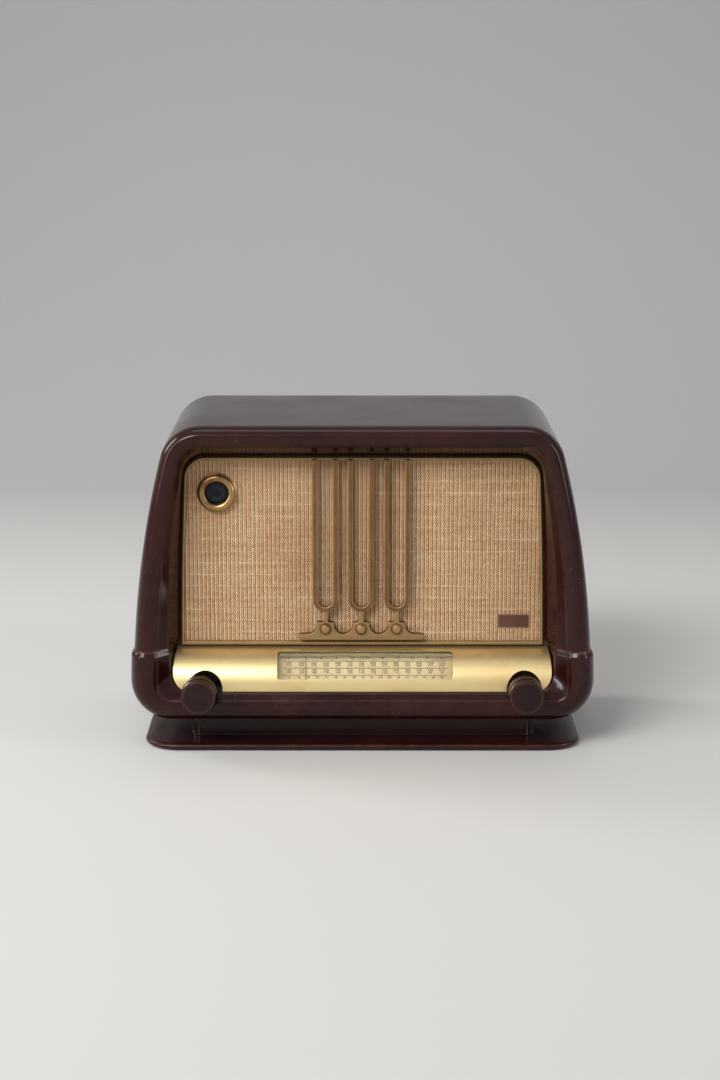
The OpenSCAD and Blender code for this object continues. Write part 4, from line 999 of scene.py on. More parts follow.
@dataclass(frozen=True)
class FrontLoop:
    """A closed loop of the cabinet front: crown, corner, bulging side, corner, foot.

    The side is an arc of radius `side` about the height `middle`; the corners are arcs that touch it.

    Args:
        half: Half width where the side bulges most.
        middle: Height of that place.
        side: Radius of the side.
        top: Height of the crown.
        top_r: Radius of the upper corners.
        foot: Height of the foot.
        foot_r: Radius of the lower corners.
        shoulder: Height about which the side's places crowd together, for the step of the cradle.
    """

    half: float
    middle: float
    side: float
    top: float
    top_r: float
    foot: float
    foot_r: float
    shoulder: float = 107.0

    def bulge(self, z: Array) -> Array:
        """Places of the side arc: x = half - r + r cos t, with sin t = (z - middle) / r.

        Args:
            z: Heights.

        Returns:
            Rows of x, height and the outward direction's x and height.
        """
        s = (z - self.middle) / self.side
        c = np.sqrt(1.0 - s * s)
        return side_by_side(self.half - self.side + self.side * c, z, c, s)

    def corner(self, z: float, r: float, turn: float, angles: Array) -> Array:
        """Places of a corner arc that touches the side: its middle lies side - r from the side's own.

        Args:
            z: Height of the arc's middle.
            r: Radius of the arc.
            turn: Angle at which it touches the side.
            angles: Angles of the places.

        Returns:
            Rows of x, height and the outward direction's x and height.
        """
        x = self.half - self.side + (self.side - r) * math.cos(turn)
        c, s = np.cos(angles), np.sin(angles)
        return side_by_side(x + r * c, z + r * s, c, s)

    def half_line(self, steps: Steps = Steps()) -> Array:
        """Right half of the loop, from the middle of the crown to the middle of the foot.

        Args:
            steps: Numbers of places.

        Returns:
            Rows of x, height and the outward direction's x and height.
        """
        top_z, foot_z = self.top - self.top_r, self.foot + self.foot_r
        turn_top = math.asin((top_z - self.middle) / (self.side - self.top_r))
        turn_foot = math.asin((foot_z - self.middle) / (self.side - self.foot_r))
        upper = self.corner(top_z, self.top_r, turn_top, np.linspace(math.pi / 2, turn_top, steps.corner + 1))
        lower = self.corner(foot_z, self.foot_r, turn_foot,
                            np.linspace(turn_foot, -math.pi / 2, steps.corner + 1)[1:])
        high, low = (self.middle + self.side * math.sin(t) for t in (turn_top, turn_foot))
        shoulder = self.shoulder + np.array(steps.drops)
        return np.vstack([
            side_by_side(np.linspace(0.0, upper[0, 0], steps.crown + 1)[:-1], self.top, 0.0, 1.0),
            upper,
            self.bulge(np.linspace(high, shoulder[0], steps.side + 1)[1:]),
            self.bulge(shoulder[1:]),
            self.bulge(np.linspace(shoulder[-1], low, steps.low + 1)[1:]),
            lower,
            side_by_side(np.linspace(lower[-1, 0], 0.0, steps.foot + 1)[1:], self.foot, 0.0, -1.0),
        ])

    def whole(self) -> Array:
        """The whole loop: the right half and its mirror image, without the two middle places twice."""
        right = self.half_line()
        return np.vstack([right, right[-2:0:-1] * (-1.0, 1.0, -1.0, 1.0)])

    def inner_line(self, inset: float, steps: Steps = Steps()) -> Array:
        """Right half of the loop drawn in by `inset`, as rows of x and height."""
        line = self.half_line(steps)
        return line[:, :2] - line[:, 2:] * inset

    def half_width(self, z: Array, inset: float) -> Array:
        """Half width, at the heights z, of the loop drawn in by `inset`."""
        x, height = self.inner_line(inset).T
        return np.interp(z, height[::-1], x[::-1])


# The cabinet's outside, the end of its middle band, and the opening before the cloth.
OUTLINE = FrontLoop(249.8, 58.0, 1074.0, 357.0, 45.0, 35.2, 41.8)
CHAMFER = FrontLoop(211.0, 130.0, 950.0, 333.0, 28.0, 63.5, 22.0)
OPENING = FrontLoop(200.0, 60.0, 5000.0, 320.0, 25.0, 61.5, 18.0)


def rounded(width: float, height: float, r: float, steps: int, x: float = 0.0, z: float = 0.0) -> Array:
    """A rectangle with round corners, anticlockwise: four quarter circles joined by straight runs.

    Args:
        width: Whole width.
        height: Whole height.
        r: Radius of the corners.
        steps: Pieces of each corner.
        x: First number of the middle.
        z: Second number of the middle.

    Returns:
        The outline.
    """
    quarter, half_w, half_h = math.pi / 2, width / 2 - r, height / 2 - r
    corners = enumerate(((1, 1), (-1, 1), (-1, -1), (1, -1)))
    return np.vstack([arc(x + sx * half_w, z + sz * half_h, r, k * quarter, (k + 1) * quarter, steps + 1)
                      for k, (sx, sz) in corners])


def drawn_in(outline: Array, by: float) -> Array:
    """An outline moved inward, each place square to the line through its two neighbours.

    Args:
        outline: Anticlockwise outline.
        by: How far it moves.

    Returns:
        The smaller outline.
    """
    run = np.roll(outline, -1, 0) - np.roll(outline, 1, 0)
    run /= np.linalg.norm(run, axis=1, keepdims=True) + 1e-9
    return outline - side_by_side(run[:, 1], -run[:, 0]) * by


def cap_faces(ring: Array, clockwise: bool) -> Array:
    """Triangles over a flat ring, all turned one way by the sign of their area.

    Args:
        ring: Places of the ring, all at one depth.
        clockwise: Whether the triangles run clockwise in width and height.

    Returns:
        Point numbers, three to a face.
    """
    flat = ring[:, ::2]
    triangles = np.array(tessellate_polygon([np.insert(flat, 2, 0.0, 1).tolist()]))
    a, b, c = (flat[triangles[:, k]] for k in range(3))
    area = (b[:, 0] - a[:, 0]) * (c[:, 1] - a[:, 1]) - (b[:, 1] - a[:, 1]) * (c[:, 0] - a[:, 0])
    return np.where((area > 0)[:, None] == clockwise, triangles[:, ::-1], triangles)


EDGE_WEAR = (0.6, 0.9, 0.6, 0.3, 0.0)  # From a plate's face round its edge to its side.


def plate_skin(outline: Array, front: float, back: float, edge: float, worn: bool = True) -> Shell:
    """A plate: its outline from front to back depth, with a rounded front edge and flat many-sided ends.

    The edge is a quarter circle: inset = edge (1 - sin t), depth = front + edge (1 - cos t).

    Args:
        outline: Anticlockwise outline in width and height.
        front: Depth of the front face.
        back: Depth of the back face.
        edge: Radius of the rounded edge.
        worn: Whether the rounded edge is worn.

    Returns:
        The closed skin.
    """
    rings = [np.insert(drawn_in(outline, edge * (1 - math.sin(t))), 1, front + edge * (1 - math.cos(t)), 1)
             for t in np.linspace(0.0, math.pi / 2, len(EDGE_WEAR))]
    rings.append(np.insert(outline, 1, back, 1))
    n, last = len(outline), len(rings) - 1
    faces = [grid_faces(last + 1, n, False, True), cap_faces(rings[0], True),
             cap_faces(rings[last], False) + last * n]
    return Shell(np.vstack(rings), faces, np.repeat((*EDGE_WEAR, 0.0), n) * worn).outward()


@dataclass
class Cabinet:
    """The moulded cabinet and its bosses.

    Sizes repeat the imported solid; the moulding is the same section carried round far more places. Where a
    size is a pair, its first number holds along the sides and crown and its second along the foot.
    """

    finish: Moulding = Moulding("oxblood_moulding")
    depth: float = 235.0
    wall: float = 4.5
    cradle_h: float = 107.0
    cradle_step: float = 3.2
    rim_w: float = 21.0
    rim_low_w: float = 26.0
    rim_foot_w: float = 22.0
    rim_depth: float = 20.0
    widens_from: float = 317.0
    crest: Pair = (0.47, 0.62)  # Share of the rim's width.
    chamfer_depth: Pair = (15.0, 5.0)
    roll: Pair = (5.0, 2.0)
    flare: float = 5.0
    reveal: float = 42.0  # Depth of the inner lip.
    lip_rise: float = 0.4
    boss_r: float = 7.0
    boss_l: float = 18.0
    boss_gap: float = 4.5
    screw_r: float = 1.75
    boss_stations: tuple[int, ...] = (2, 17, 34)  # Places of the coarse half loop.

    def cradle(self, z: Array) -> Array:
        """Share of the cradle's step at a height."""
        return ease((self.cradle_h + 6.0 - z) / 8.0)

    def shell(self) -> Shell:
        """The moulding: a section of bullnose, roll, middle band, inner band and inside, carried round.

        The bullnose is a quarter of an ellipse from the side to the crest; the roll follows a sine down to
        the middle band; straight bands meet in round corners.

        Returns:
            The closed skin with its wear, and a painted highlight along the front of the cradle ledge.
        """
        p, e, o = (loop.whole() for loop in (OUTLINE, CHAMFER, OPENING))
        c = self.cradle_step * self.cradle(p[:, 1])
        chin = ease((-p[:, 3] + 0.02) / 1.02)
        low = ease((self.widens_from - p[:, 1]) / (self.widens_from - self.cradle_h))
        w = mix(mix(self.rim_w, self.rim_low_w, low), self.rim_foot_w, chin)
        crest = mix(*self.crest, chin) * w
        edge_depth = mix(*self.chamfer_depth, chin)
        roll = mix(*self.roll, chin)
        widen = self.flare * self.cradle(p[:, 1] - 4.0) * (1.0 - chin)
        wall = self.wall

        def out(loop: Array, reach: Array | float, depth: Array | float) -> Array:
            """Places out from a loop, at a depth."""
            return side_by_side(loop[:, 0] + loop[:, 2] * reach, depth, loop[:, 1] + loop[:, 3] * reach)

        columns: list[Array] = []
        weights: list[float] = []

        def add(places: Array | list[Array], weight: float) -> None:
            """Append columns with one weight of wear."""
            columns.extend(places)
            weights.extend([weight] * len(places))

        back_in, back_out, side = out(p, -wall, self.depth), out(p, c, self.depth), out(p, c, self.rim_depth)
        add(bent(back_in, back_out, side, 0.9, 4).swapaxes(0, 1), 0.2)
        add([mix(back_out, side, t) for t in (0.08, 0.25, 0.5, 0.75, 0.92)], 0.0)
        for a in np.linspace(0.0, math.pi / 2, 29):
            add([out(p, -crest + (crest + c) * math.cos(a),
                     self.rim_depth - (self.rim_depth + c) * math.sin(a))], 0.08 * float(ease(a / 1.2)))
        sweep = math.pi / 3
        add([out(p, -crest - (w - crest) * math.sin(t) / math.sin(sweep), roll * (1 - math.cos(t)) * 2 - c)
             for t in np.linspace(0.0, sweep, 13)[1:-1]], 0.08)
        line_1 = out(p, -w, roll - c)
        line_2 = out(e, -c * self.lip_rise, edge_depth - c * 0.8)
        lip, lip_back = out(o, widen, self.reveal), out(o, widen + wall, self.reveal)
        add(bent(columns[-1], line_1, line_2, 0.5, 3).swapaxes(0, 1), 0.3)
        add([mix(line_1, line_2, t) for t in (0.2, 0.4, 0.6, 0.8)], 0.0)
        add(bent(line_1, line_2, lip, 0.9, 4).swapaxes(0, 1), 0.15)
        add([mix(line_2, lip, t) for t in (0.15, 0.4, 0.65, 0.9)], 0.0)
        add(bent(line_2, lip, lip_back, 0.7, 3).swapaxes(0, 1), 0.3)
        add([lip_back, out(e, wall * 1.1, edge_depth + wall * 0.9), out(p, -w + 1.0, roll + wall * 1.2),
             out(p, -crest, wall)], 0.0)
        inner = self.rim_depth - wall
        add([out(p, -crest + (crest - wall) * math.cos(t), self.rim_depth - inner * math.sin(t))
             for t in np.radians((60.0, 30.0, 0.0))], 0.0)
        add([out(p, -wall, mix(self.depth, self.rim_depth, 0.5)), back_in], 0.0)
        rings = np.stack(columns, 1)
        # The band along the front of the cradle ledge is painted highlight, carried as wear so that it takes
        # the rubbed colour.
        ledge_highlight = np.exp(-(((rings[:, :, 2] - self.cradle_h - 3.6) / 1.4) ** 2)) * (rings[:, :, 1] < 16.0)
        wear = np.maximum(np.broadcast_to(weights, rings.shape[:2]), 0.8 * ledge_highlight)
        return tube_skin(rings, True, wear)

    def bosses(self) -> list[Shell]:
        """Bosses with screw holes: an outline of radius and depth turned about each screw's axis.

        Returns:
            Three skins on each side.
        """
        places = OUTLINE.inner_line(self.wall + self.boss_gap, COARSE)[list(self.boss_stations)]
        end = self.depth - 5.0
        start, bottom = end - self.boss_l, end - self.boss_l + 3.0
        r, bore = self.boss_r, self.screw_r
        profile = np.array([[0.0, start], [r, start], [r, end - 0.6], [r - 0.6, end], [bore, end],
                            [bore, bottom], [0.0, bottom]])
        return [turned(profile, (s * x, 0.0, z), steps=40) for x, z in places.tolist() for s in (-1, 1)]

    def build(self) -> None:
        """Make the cabinet piece."""
        make_piece("cabinet_moulding", [self.shell(), *self.bosses()], self.finish,
                   ("cabinet",), crease=50.0)


@dataclass
class Pedestal:
    """Base plate with a full round rim, the neck that carries the cabinet, and the felt pads."""

    finish: Moulding = Moulding("base_moulding", srgb(32, 11, 10), srgb(46, 16, 14), srgb(90, 52, 44),
                                0.16, 0.2)
    felt: Matter = Matter("felt", srgb(44, 50, 44), srgb(72, 78, 68), 900.0, 0.95, 0.25, sheen=0.5)
    width: float = 480.0
    depth: float = 235.0
    thick: float = 6.0
    corner_r: float = 39.0
    pad_t: float = 1.0
    pad_r: float = 9.0
    neck_w: float = 376.0
    neck_from: float = 35.0
    neck_to: float = 215.0
    neck_r: float = 12.0
    cove_r: float = 1.2
    top: float = 32.0

    def stack(self, size: Quad, insets: Array, heights: Array, wear: Array) -> Shell:
        """A skin through level rings, each a rounded rectangle in width and depth.

        Args:
            size: Width, front depth, back depth and radius of the corners.
            insets: How far each ring is drawn in.
            heights: Height of each ring.
            wear: How worn each ring is.

        Returns:
            The closed skin.
        """
        width, start, end, r = size
        rings = np.stack([np.insert(rounded(width - 2 * i, end - start - 2 * i, max(r - i, 0.4), 16, 0.0,
                                            (start + end) / 2), 2, z, 1) for i, z in zip(insets, heights)])
        return tube_skin(rings, edge=wear[:, None])

    def plate(self) -> Shell:
        """The plate: its rim is a half circle of radius thick / 2, from the underside round to the top.

        Returns:
            The closed skin.
        """
        half = self.thick / 2
        a = np.linspace(-math.pi / 2, math.pi / 2, 17)
        insets = np.concatenate([[20.0, 8.0], half * (1 - np.cos(a)), [8.0, 20.0, 50.0]])
        heights = np.concatenate([[0, 0], half + half * np.sin(a), [self.thick] * 3]) + self.pad_t
        wear = np.concatenate([[0, 0], 0.55 * np.maximum(np.sin(2.2 * a), 0.0), [0.0] * 3])
        return self.stack((self.width, 0.0, self.depth, self.corner_r), insets, heights, wear)

    def neck(self) -> Shell:
        """The neck: straight walls over a small cove of radius R, R (1 - cos t) out and R (1 - sin t) up.

        Returns:
            The closed skin.
        """
        t, r = np.linspace(math.pi / 2, 0.0, 8), self.cove_r
        insets = np.concatenate([[-r], -r * (1 - np.cos(t)), [0.0, 0.0]])
        heights = np.concatenate([[self.thick], self.pad_t + self.thick + r * (1 - np.sin(t)),
                                  [self.top - 1.0, self.top]])
        return self.stack((self.neck_w, self.neck_from, self.neck_to, self.neck_r), insets, heights,
                          np.zeros(len(insets)))

    def pads(self) -> list[Shell]:
        """Felt discs with soft rims under the plate's four corners.

        Returns:
            Four skins.
        """
        top = self.pad_t + 0.6
        profile = np.array([[0.0, 0.0], [6.0, 0.0], [8.4, 0.0], [8.9, 0.35], [self.pad_r, 0.8],
                            [self.pad_r, top], [0.0, top]])
        r = self.corner_r
        return [turned(profile, (s * (self.width / 2 - r), d, 0.0), Along.HEIGHT, steps=48)
                for s in (-1, 1) for d in (r, self.depth - r)]

    def build(self) -> None:
        """Make the base and the pads."""
        make_piece("pedestal_moulding", [self.plate(), self.neck()], self.finish,
                   ("pedestal_base",))
        make_piece("felt_discs", self.pads(), self.felt, ("felt_pads",))


@dataclass
class Grille:
    """Cloth, bead, hairpin bars on their plinth, studs and the blank plate."""

    cloth_finish: Weave = Weave("radio_cloth")
    bead_finish: WornPaint = WornPaint("bead_paint", srgb(138, 108, 64), srgb(92, 68, 38), 0.6, 0.38)
    bar_finish: WornPaint = WornPaint("bar_paint")
    plate_finish: WornPaint = WornPaint("plate_paint", srgb(92, 56, 42), srgb(68, 40, 30), 0.1, 0.5)
    cloth_front: float = 41.2
    cloth_back: float = 42.2
    foot: float = 113.0
    crown: float = 319.0
    corner_from: float = 292.0  # Above this the cloth's rows lie closer together.
    eye: Pair = EYE
    eye_hole_r: float = 15.0
    slack: float = 0.12
    bead_w: float = 3.6
    bead_foot_w: float = 4.6
    bead_foot: float = 109.4
    bead_t: float = 2.4
    x: float = -1.5
    pitch: float = 39.0
    hairpin_w: float = 28.0
    bar_w: float = 5.3
    bar_t: float = 6.5
    bar_front: float = 31.2
    bar_top: float = 317.0
    bend_z: float = 162.5
    plinth_low: float = 123.2
    plinth_top: float = 136.5
    block_half: float = 9.2
    plinth_end: Pair = (66.0, 120.1)
    plinth_end_r: Pair = (3.0, 3.1)
    stud_z: float = 129.3
    stud_r: float = 6.5
    stud_proud: float = 4.0
    plate_at: Pair = (165.6, 136.3)
    plate_size: Pair = (34.0, 15.0)
    plate_rim: float = 0.8

    def cloth(self) -> Shell:
        """The stretched cloth: x = u h(z) with h the opening's half width, a hair of slackness in its depth.

        Returns:
            The closed skin, without the cells in the hole for the eye.
        """
        z = np.concatenate([np.linspace(self.foot, self.corner_from, 120)[:-1],
                            np.linspace(self.corner_from, self.crown, 40)])
        x = np.linspace(-1.0, 1.0, 260)[None, :] * OPENING.half_width(z, 1.0)[:, None]
        slack = self.slack * np.sin(x * 0.031 + 1.0) * np.sin(z[:, None] * 0.043)
        front = side_by_side(x, self.cloth_front + self.slack + slack, z[:, None])
        back = side_by_side(x, self.cloth_back, z[:, None])
        middle = (front[:-1, :-1] + front[1:, 1:]) / 2
        keep = np.hypot(middle[:, :, 0] - self.eye[0], middle[:, :, 2] - self.eye[1]) > self.eye_hole_r
        return pierced_sheet(front, back, keep)

    def bead_line(self, inset: float, foot: float) -> Array:
        """The cloth's outline cut off level, evenly spaced by its length down to the cut, as 440 places.

        Args:
            inset: How far the outline is drawn in.
            foot: Height of the cut.

        Returns:
            Rows of x and height: right side downward, foot, left side upward.
        """
        x, z = OPENING.inner_line(inset).T
        run = np.concatenate([[0.0], np.cumsum(np.hypot(np.diff(x), np.diff(z)))])
        below_crown = slice(len(z) // 6, None)
        s = np.linspace(0.0, np.interp(-foot, -z[below_crown], run[below_crown]), 180)
        right = side_by_side(np.interp(s, run, x), np.interp(s, run, z))
        right[-1, 1] = foot
        bottom = side_by_side(np.linspace(1.0, -1.0, 82)[1:-1] * right[-1, 0], foot)
        return np.vstack([right, bottom, right[:0:-1] * (-1.0, 1.0)])

    def bead(self) -> Shell:
        """The metal bead: depth = back - bead_t sin(pi t)^0.6 across its width, carried round the cloth.

        Returns:
            The closed skin; its last two rings are the flat back.
        """
        t = np.linspace(0.0, 1.0, 15)
        share = np.append(0.5 - 0.5 * np.cos(math.pi * t), [0.97, 0.03])
        lift = np.append(self.bead_t * np.sin(math.pi * t) ** 0.6, [0.0, 0.0])
        rub = np.append(0.8 * np.sin(math.pi * t) ** 8, [0.0, 0.0])
        back = self.cloth_front - 0.1
        lines = [self.bead_line(1.0 + self.bead_w * s, self.bead_foot + self.bead_foot_w * s) for s in share]
        rings = np.stack([np.insert(line, 1, back - h, 1) for line, h in zip(lines, lift)])
        return tube_skin(rings, True, rub[:, None])

    def hairpin(self, middle: float) -> Shell:
        """One hairpin: down the left leg, round a half circle of r = (hairpin_w - bar_w) / 2, up the right.

        Args:
            middle: Sideways place from the middle one.

        Returns:
            The closed skin.
        """
        r = (self.hairpin_w - self.bar_w) / 2
        leg = np.linspace(self.bar_top, self.bend_z, 24)[:-1]
        path = np.vstack([side_by_side(-r, leg), arc(0.0, self.bend_z, r, math.pi, 2 * math.pi, 41),
                          side_by_side(r, leg[::-1])])
        w, t = self.bar_w / 2, self.bar_t / 2
        section = soften(np.array([[-w, t], [w, t], [w, -t], [-w, -t]]), np.array([1.5, 1.5, 0.3, 0.3]), 6)
        edge = 0.8 * np.exp(-((np.abs(section[:, 0]) - w + 0.5) / 0.5) ** 2) * (section[:, 1] > t - 1.4)
        path = np.insert(path + (self.x + middle, 0.0), 1, self.bar_front + t, 1)
        return carried(path, section, np.array([0.0, -1.0, 0.0]), edge=edge)

    def plinth_outline(self) -> Array:
        """Outline of the plinth: a bar with round ends and three flat-topped blocks with hollow flanks.

        A flank is x = pitch / 2 - r cos a, z = low + r - r sin a, from level at the bar to upright at the
        block.

        Returns:
            The outline, anticlockwise.
        """
        low, top, half, stem = self.plinth_low, self.plinth_top, self.block_half, self.bar_w / 2
        r = self.pitch / 2 - half
        right = np.vstack([
            arc(self.pitch / 2, low + r, r, 1.5 * math.pi, math.pi, 13),
            [[half, top - 0.5], [half - 0.5, top], [stem + 0.7, top], [stem, top + 0.7],
             [stem, self.bend_z - self.hairpin_w / 2 + stem * 1.4]]])
        block = np.vstack([right, (right * (-1.0, 1.0))[::-1][:-1]])
        blocks = np.vstack([block + (k * self.pitch, 0.0) for k in (1, 0, -1)])
        end = self.plinth_end + arc(0.0, 0.0, 1.0, -math.pi / 2, math.pi / 2, 9) * self.plinth_end_r
        return np.vstack([end, blocks, (end * (-1.0, 1.0))[::-1]]) + (self.x, 0.0)

    def studs(self) -> list[Shell]:
        """Domed studs: r = R sin a, height = proud cos(a)^0.85, over a short rim.

        Returns:
            Three skins.
        """
        a, face = np.linspace(0.0, math.pi / 2, 16), self.bar_front + 1.0
        dome = side_by_side(self.stud_r * np.sin(a), face - self.stud_proud * np.cos(a) ** 0.85)
        profile = np.vstack([dome, [[self.stud_r, face + 0.6], [0.0, face + 0.6]]])
        worn = 0.7 * (profile[:, 1] < face - 3.2)
        return [turned(profile, (self.x + k * self.pitch, 0.0, self.stud_z), steps=64, worn=worn)
                for k in (-1, 0, 1)]

    def build(self) -> None:
        """Make the grille's pieces."""
        cloth = make_piece("grille_weave", [self.cloth()], self.cloth_finish,
                           ("grille_cloth",))
        half = OPENING.half_width(np.linspace(self.foot, self.crown, 400), 1.0)
        make_piece("cloth_bead_strip", [self.bead()], self.bead_finish, ("cloth_bead",))
        plinth = plate_skin(self.plinth_outline(), self.bar_front + 1.0, self.cloth_front - 0.1, 0.7)
        make_piece("hairpin_grille", [self.hairpin(k * self.pitch) for k in (-1, 0, 1)] + [plinth],
                   self.bar_finish, ("grille_bars",))
        make_piece("domed_studs", self.studs(), self.bar_finish, ("grille_studs",))
        (plate_w, plate_h), cut, front = self.plate_size, 2 * self.plate_rim, self.cloth_front
        flat = rounded(plate_w, plate_h, 1.0, 5, *self.plate_at)
        raised = rounded(plate_w - cut, plate_h - cut, 0.6, 5, *self.plate_at)
        make_piece("blank_plate", [plate_skin(flat, front - 1.0, front - 0.1, 0.3),
                                   plate_skin(raised, front - 1.2, front - 0.8, 0.15, False)],
                   self.plate_finish, ("name_plate",))


@dataclass
class EyeRing:
    """Turned bezel of the tuning eye: flange, cove and full round bead."""

    finish: Metal = Metal("aged_brass", srgb(178, 142, 96), srgb(98, 70, 44), 0.3, Lay.NONE, 0.9)
    at: Pair = EYE
    back: float = 41.1
    hole_r: float = 12.0
    bead_r: float = 4.2
    flange_r: float = 21.5
    flange_t: float = 1.6

    def build(self) -> None:
        """Make the bezel: its outline is a half circle over a flange, with a small inner lip."""
        middle, flange = self.hole_r + self.bead_r, self.back - self.flange_t
        bead = arc(middle, self.back - self.bead_r, self.bead_r, *np.radians((-200.0, 20.0)), 33)
        outline = np.vstack([[[self.hole_r, self.back]], bead,
                             [[middle + self.bead_r, flange - 0.3], [self.flange_r - 0.5, flange],
                              [self.flange_r, flange + 0.5], [self.flange_r, self.back]]])
        x, z = self.at
        make_piece("eye_ring", [turned(outline, (x, 0.0, z), closed=True, steps=128)], self.finish,
                   ("eye_bezel",))


@dataclass
class DialPanel:
    """The quarter-round brass panel with its window and the two cut-outs for the controls.

    A place is x and s, the length along the curve. With (d, h) the place `turn_at` that the curve turns
    about, depth = d - r cos(s / r) and height = h + r sin(s / r).
    """

    finish: BrushedDial = BrushedDial("dial_lacquer")
    turn_at: Pair = DIAL_ARC
    r: float = 44.5
    t: float = 0.8
    top_depth: float = 42.0
    tilt: float = DIAL_TILT
    window_x: float = WINDOW_X
    window_w: float = 192.0
    window_l: float = 35.0
    window_r: float = 4.0
    notches: tuple[float, float] = (-171.5, 176.5)
    notch_z: float = 68.5
    notch_r: float = 19.0
    side_gap: float = 3.5
    foot_gap: float = 1.58
    half_w: float = 207.0
    back_half_w: float = 203.0
    taper_from: float = 15.0
    taper_x: float = 190.0  # Beyond this the sides draw in toward the back.
    corner_x: float = 18.5
    plain: tuple[tuple[float, float, int], ...] = ((-152.0, -94.0, 28), (100.0, 157.0, 28))
    cells: tuple[int, int, int] = (14, 30, 18)  # Rows below, across and above the window.

    def on_arc(self, x: Array, s: Array, r: float) -> Array:
        """Rows of x, depth and height, at x and the length s, on a curve of radius r about `turn_at`."""
        (depth, z), a = self.turn_at, s / self.r
        return side_by_side(x, depth - r * np.cos(a), z + r * np.sin(a))

    def window_span(self) -> Pair:
        """Lengths along the curve at which the window starts and ends."""
        half_turn, middle = math.asin(self.window_l / 2 / self.r), math.radians(90.0 - self.tilt)
        return self.r * (middle - half_turn), self.r * (middle + half_turn)

    def columns(self) -> Array:
        """Sideways places of the grid's columns, close together at every curve of the outline.

        Returns:
            The places in order.
        """
        c = np.cos(np.linspace(math.pi, 0.0, 29))
        w, r = self.window_w / 2, self.window_r
        bend = w - r * (1 - np.cos(np.linspace(math.pi / 2, 0.0, 10)))
        level = np.linspace(r - w, w - r, 90)[1:-1]
        window = np.concatenate([[-w - 0.01], -bend[::-1], level, bend, [w + 0.01]])
        end = np.append(self.half_w - self.corner_x * (1 - np.sin(np.linspace(0.0, 1.34, 16))), self.half_w)
        x = np.sort(np.concatenate([
            self.window_x + window,
            *(x + c * self.notch_r for x in self.notches),
            [x + s * (self.notch_r + 0.02) for x in self.notches for s in (-1, 1)],
            *(np.linspace(*run) for run in self.plain),
            -end, end]))
        return x[np.concatenate([[True], np.diff(x) > 0.004])]

    def low(self, x: Array) -> Array:
        """Start of each column along the curve: the panel's foot line, or the top of a cut-out's circle.

        Args:
            x: Sideways places of the columns.

        Returns:
            Lengths along the curve.
        """
        line = CHAMFER.half_line()
        line = line[line[:, 1] < 120.0]
        edge_x, edge_z = line[:, 0] - line[:, 2] * self.side_gap, line[:, 1] - line[:, 3] * self.foot_gap
        z = np.interp(np.abs(x), edge_x[::-1], edge_z[::-1])
        for at in self.notches:
            away = np.abs(x - at)
            top = self.notch_z + np.sqrt(np.maximum(self.notch_r**2 - away**2, 0.0))
            z = np.where(away <= self.notch_r + 1e-6, np.maximum(z, top), z)
        return self.r * np.arcsin(np.clip((z - self.turn_at[1]) / self.r, 0.0, 1.0))

    def shell(self) -> Shell:
        """The pierced sheet.

        Rows run from the foot to the window's lower line, across the window, and up to the baffle; each
        line bends with the window's round corners.

        Returns:
            The closed skin.
        """
        x = self.columns()
        s_low, s_high = self.window_span()
        s_top = self.r * math.acos((self.turn_at[0] - self.top_depth) / self.r)
        d = np.clip(np.abs(x - self.window_x) - (self.window_w / 2 - self.window_r), 0.0, self.window_r)
        corner = self.window_r - np.sqrt(self.window_r**2 - d**2)
        start = self.low(x)
        first, second = np.maximum(s_low + corner, start + 4.0), s_high - corner
        below, across, above = self.cells
        s = np.stack([mix(a, b, t) for a, b, count in ((start, first, below), (first, second, across),
                                                      (second, np.full_like(x, s_top), above))
                      for t in np.arange(count) / count] + [np.full_like(x, s_top)])
        depth = self.turn_at[0] - self.r * np.cos(s / self.r)
        half = np.interp(depth, [self.taper_from, self.top_depth], [self.half_w, self.back_half_w])
        pull = np.clip((np.abs(x) - self.taper_x) / (self.half_w - self.taper_x), 0.0, 1.0)
        xs = x - np.sign(x) * pull * (self.half_w - half)
        keep = np.ones((below + across + above, len(x) - 1), bool)
        inside = np.abs((x[1:] + x[:-1]) / 2 - self.window_x) < self.window_w / 2
        keep[below:below + across, inside] = False
        return pierced_sheet(self.on_arc(xs, s, self.r), self.on_arc(xs, s, self.r - self.t), keep)

    def rim(self) -> Shell:
        """A fine raised line round the window: a half round of 0.4 mm carried round its rounded outline.

        Each side of the outline is cut into pieces of about 2 mm, so that it bends with the panel.

        Returns:
            The closed skin.
        """
        s_low, s_high = self.window_span()
        flat = rounded(self.window_w + 0.9, s_high - s_low + 0.9, self.window_r + 0.4, 8, self.window_x,
                       (s_low + s_high) / 2)
        run = np.roll(flat, -1, 0) - flat
        count = np.maximum(1, (np.linalg.norm(run, axis=1) / 2.0).astype(int))
        piece = np.arange(count.sum()) - np.repeat(np.cumsum(count) - count, count)
        share = piece / np.repeat(count, count)
        line = np.repeat(flat, count, 0) + np.repeat(run, count, 0) * share[:, None]
        path = self.on_arc(line[:, 0], line[:, 1], self.r - 0.12)
        lift = path - self.on_arc(line[:, 0], line[:, 1], 0.0)
        return carried(path, arc(0.0, 0.0, 1.0, 0.0, 2 * math.pi, 9)[:-1] * (0.4, 0.24), lift, True)

    def build(self) -> None:
        """Make the panel."""
        make_piece("curved_panel", [self.shell(), self.rim()], self.finish,
                   ("dial_panel",), crease=32.0)


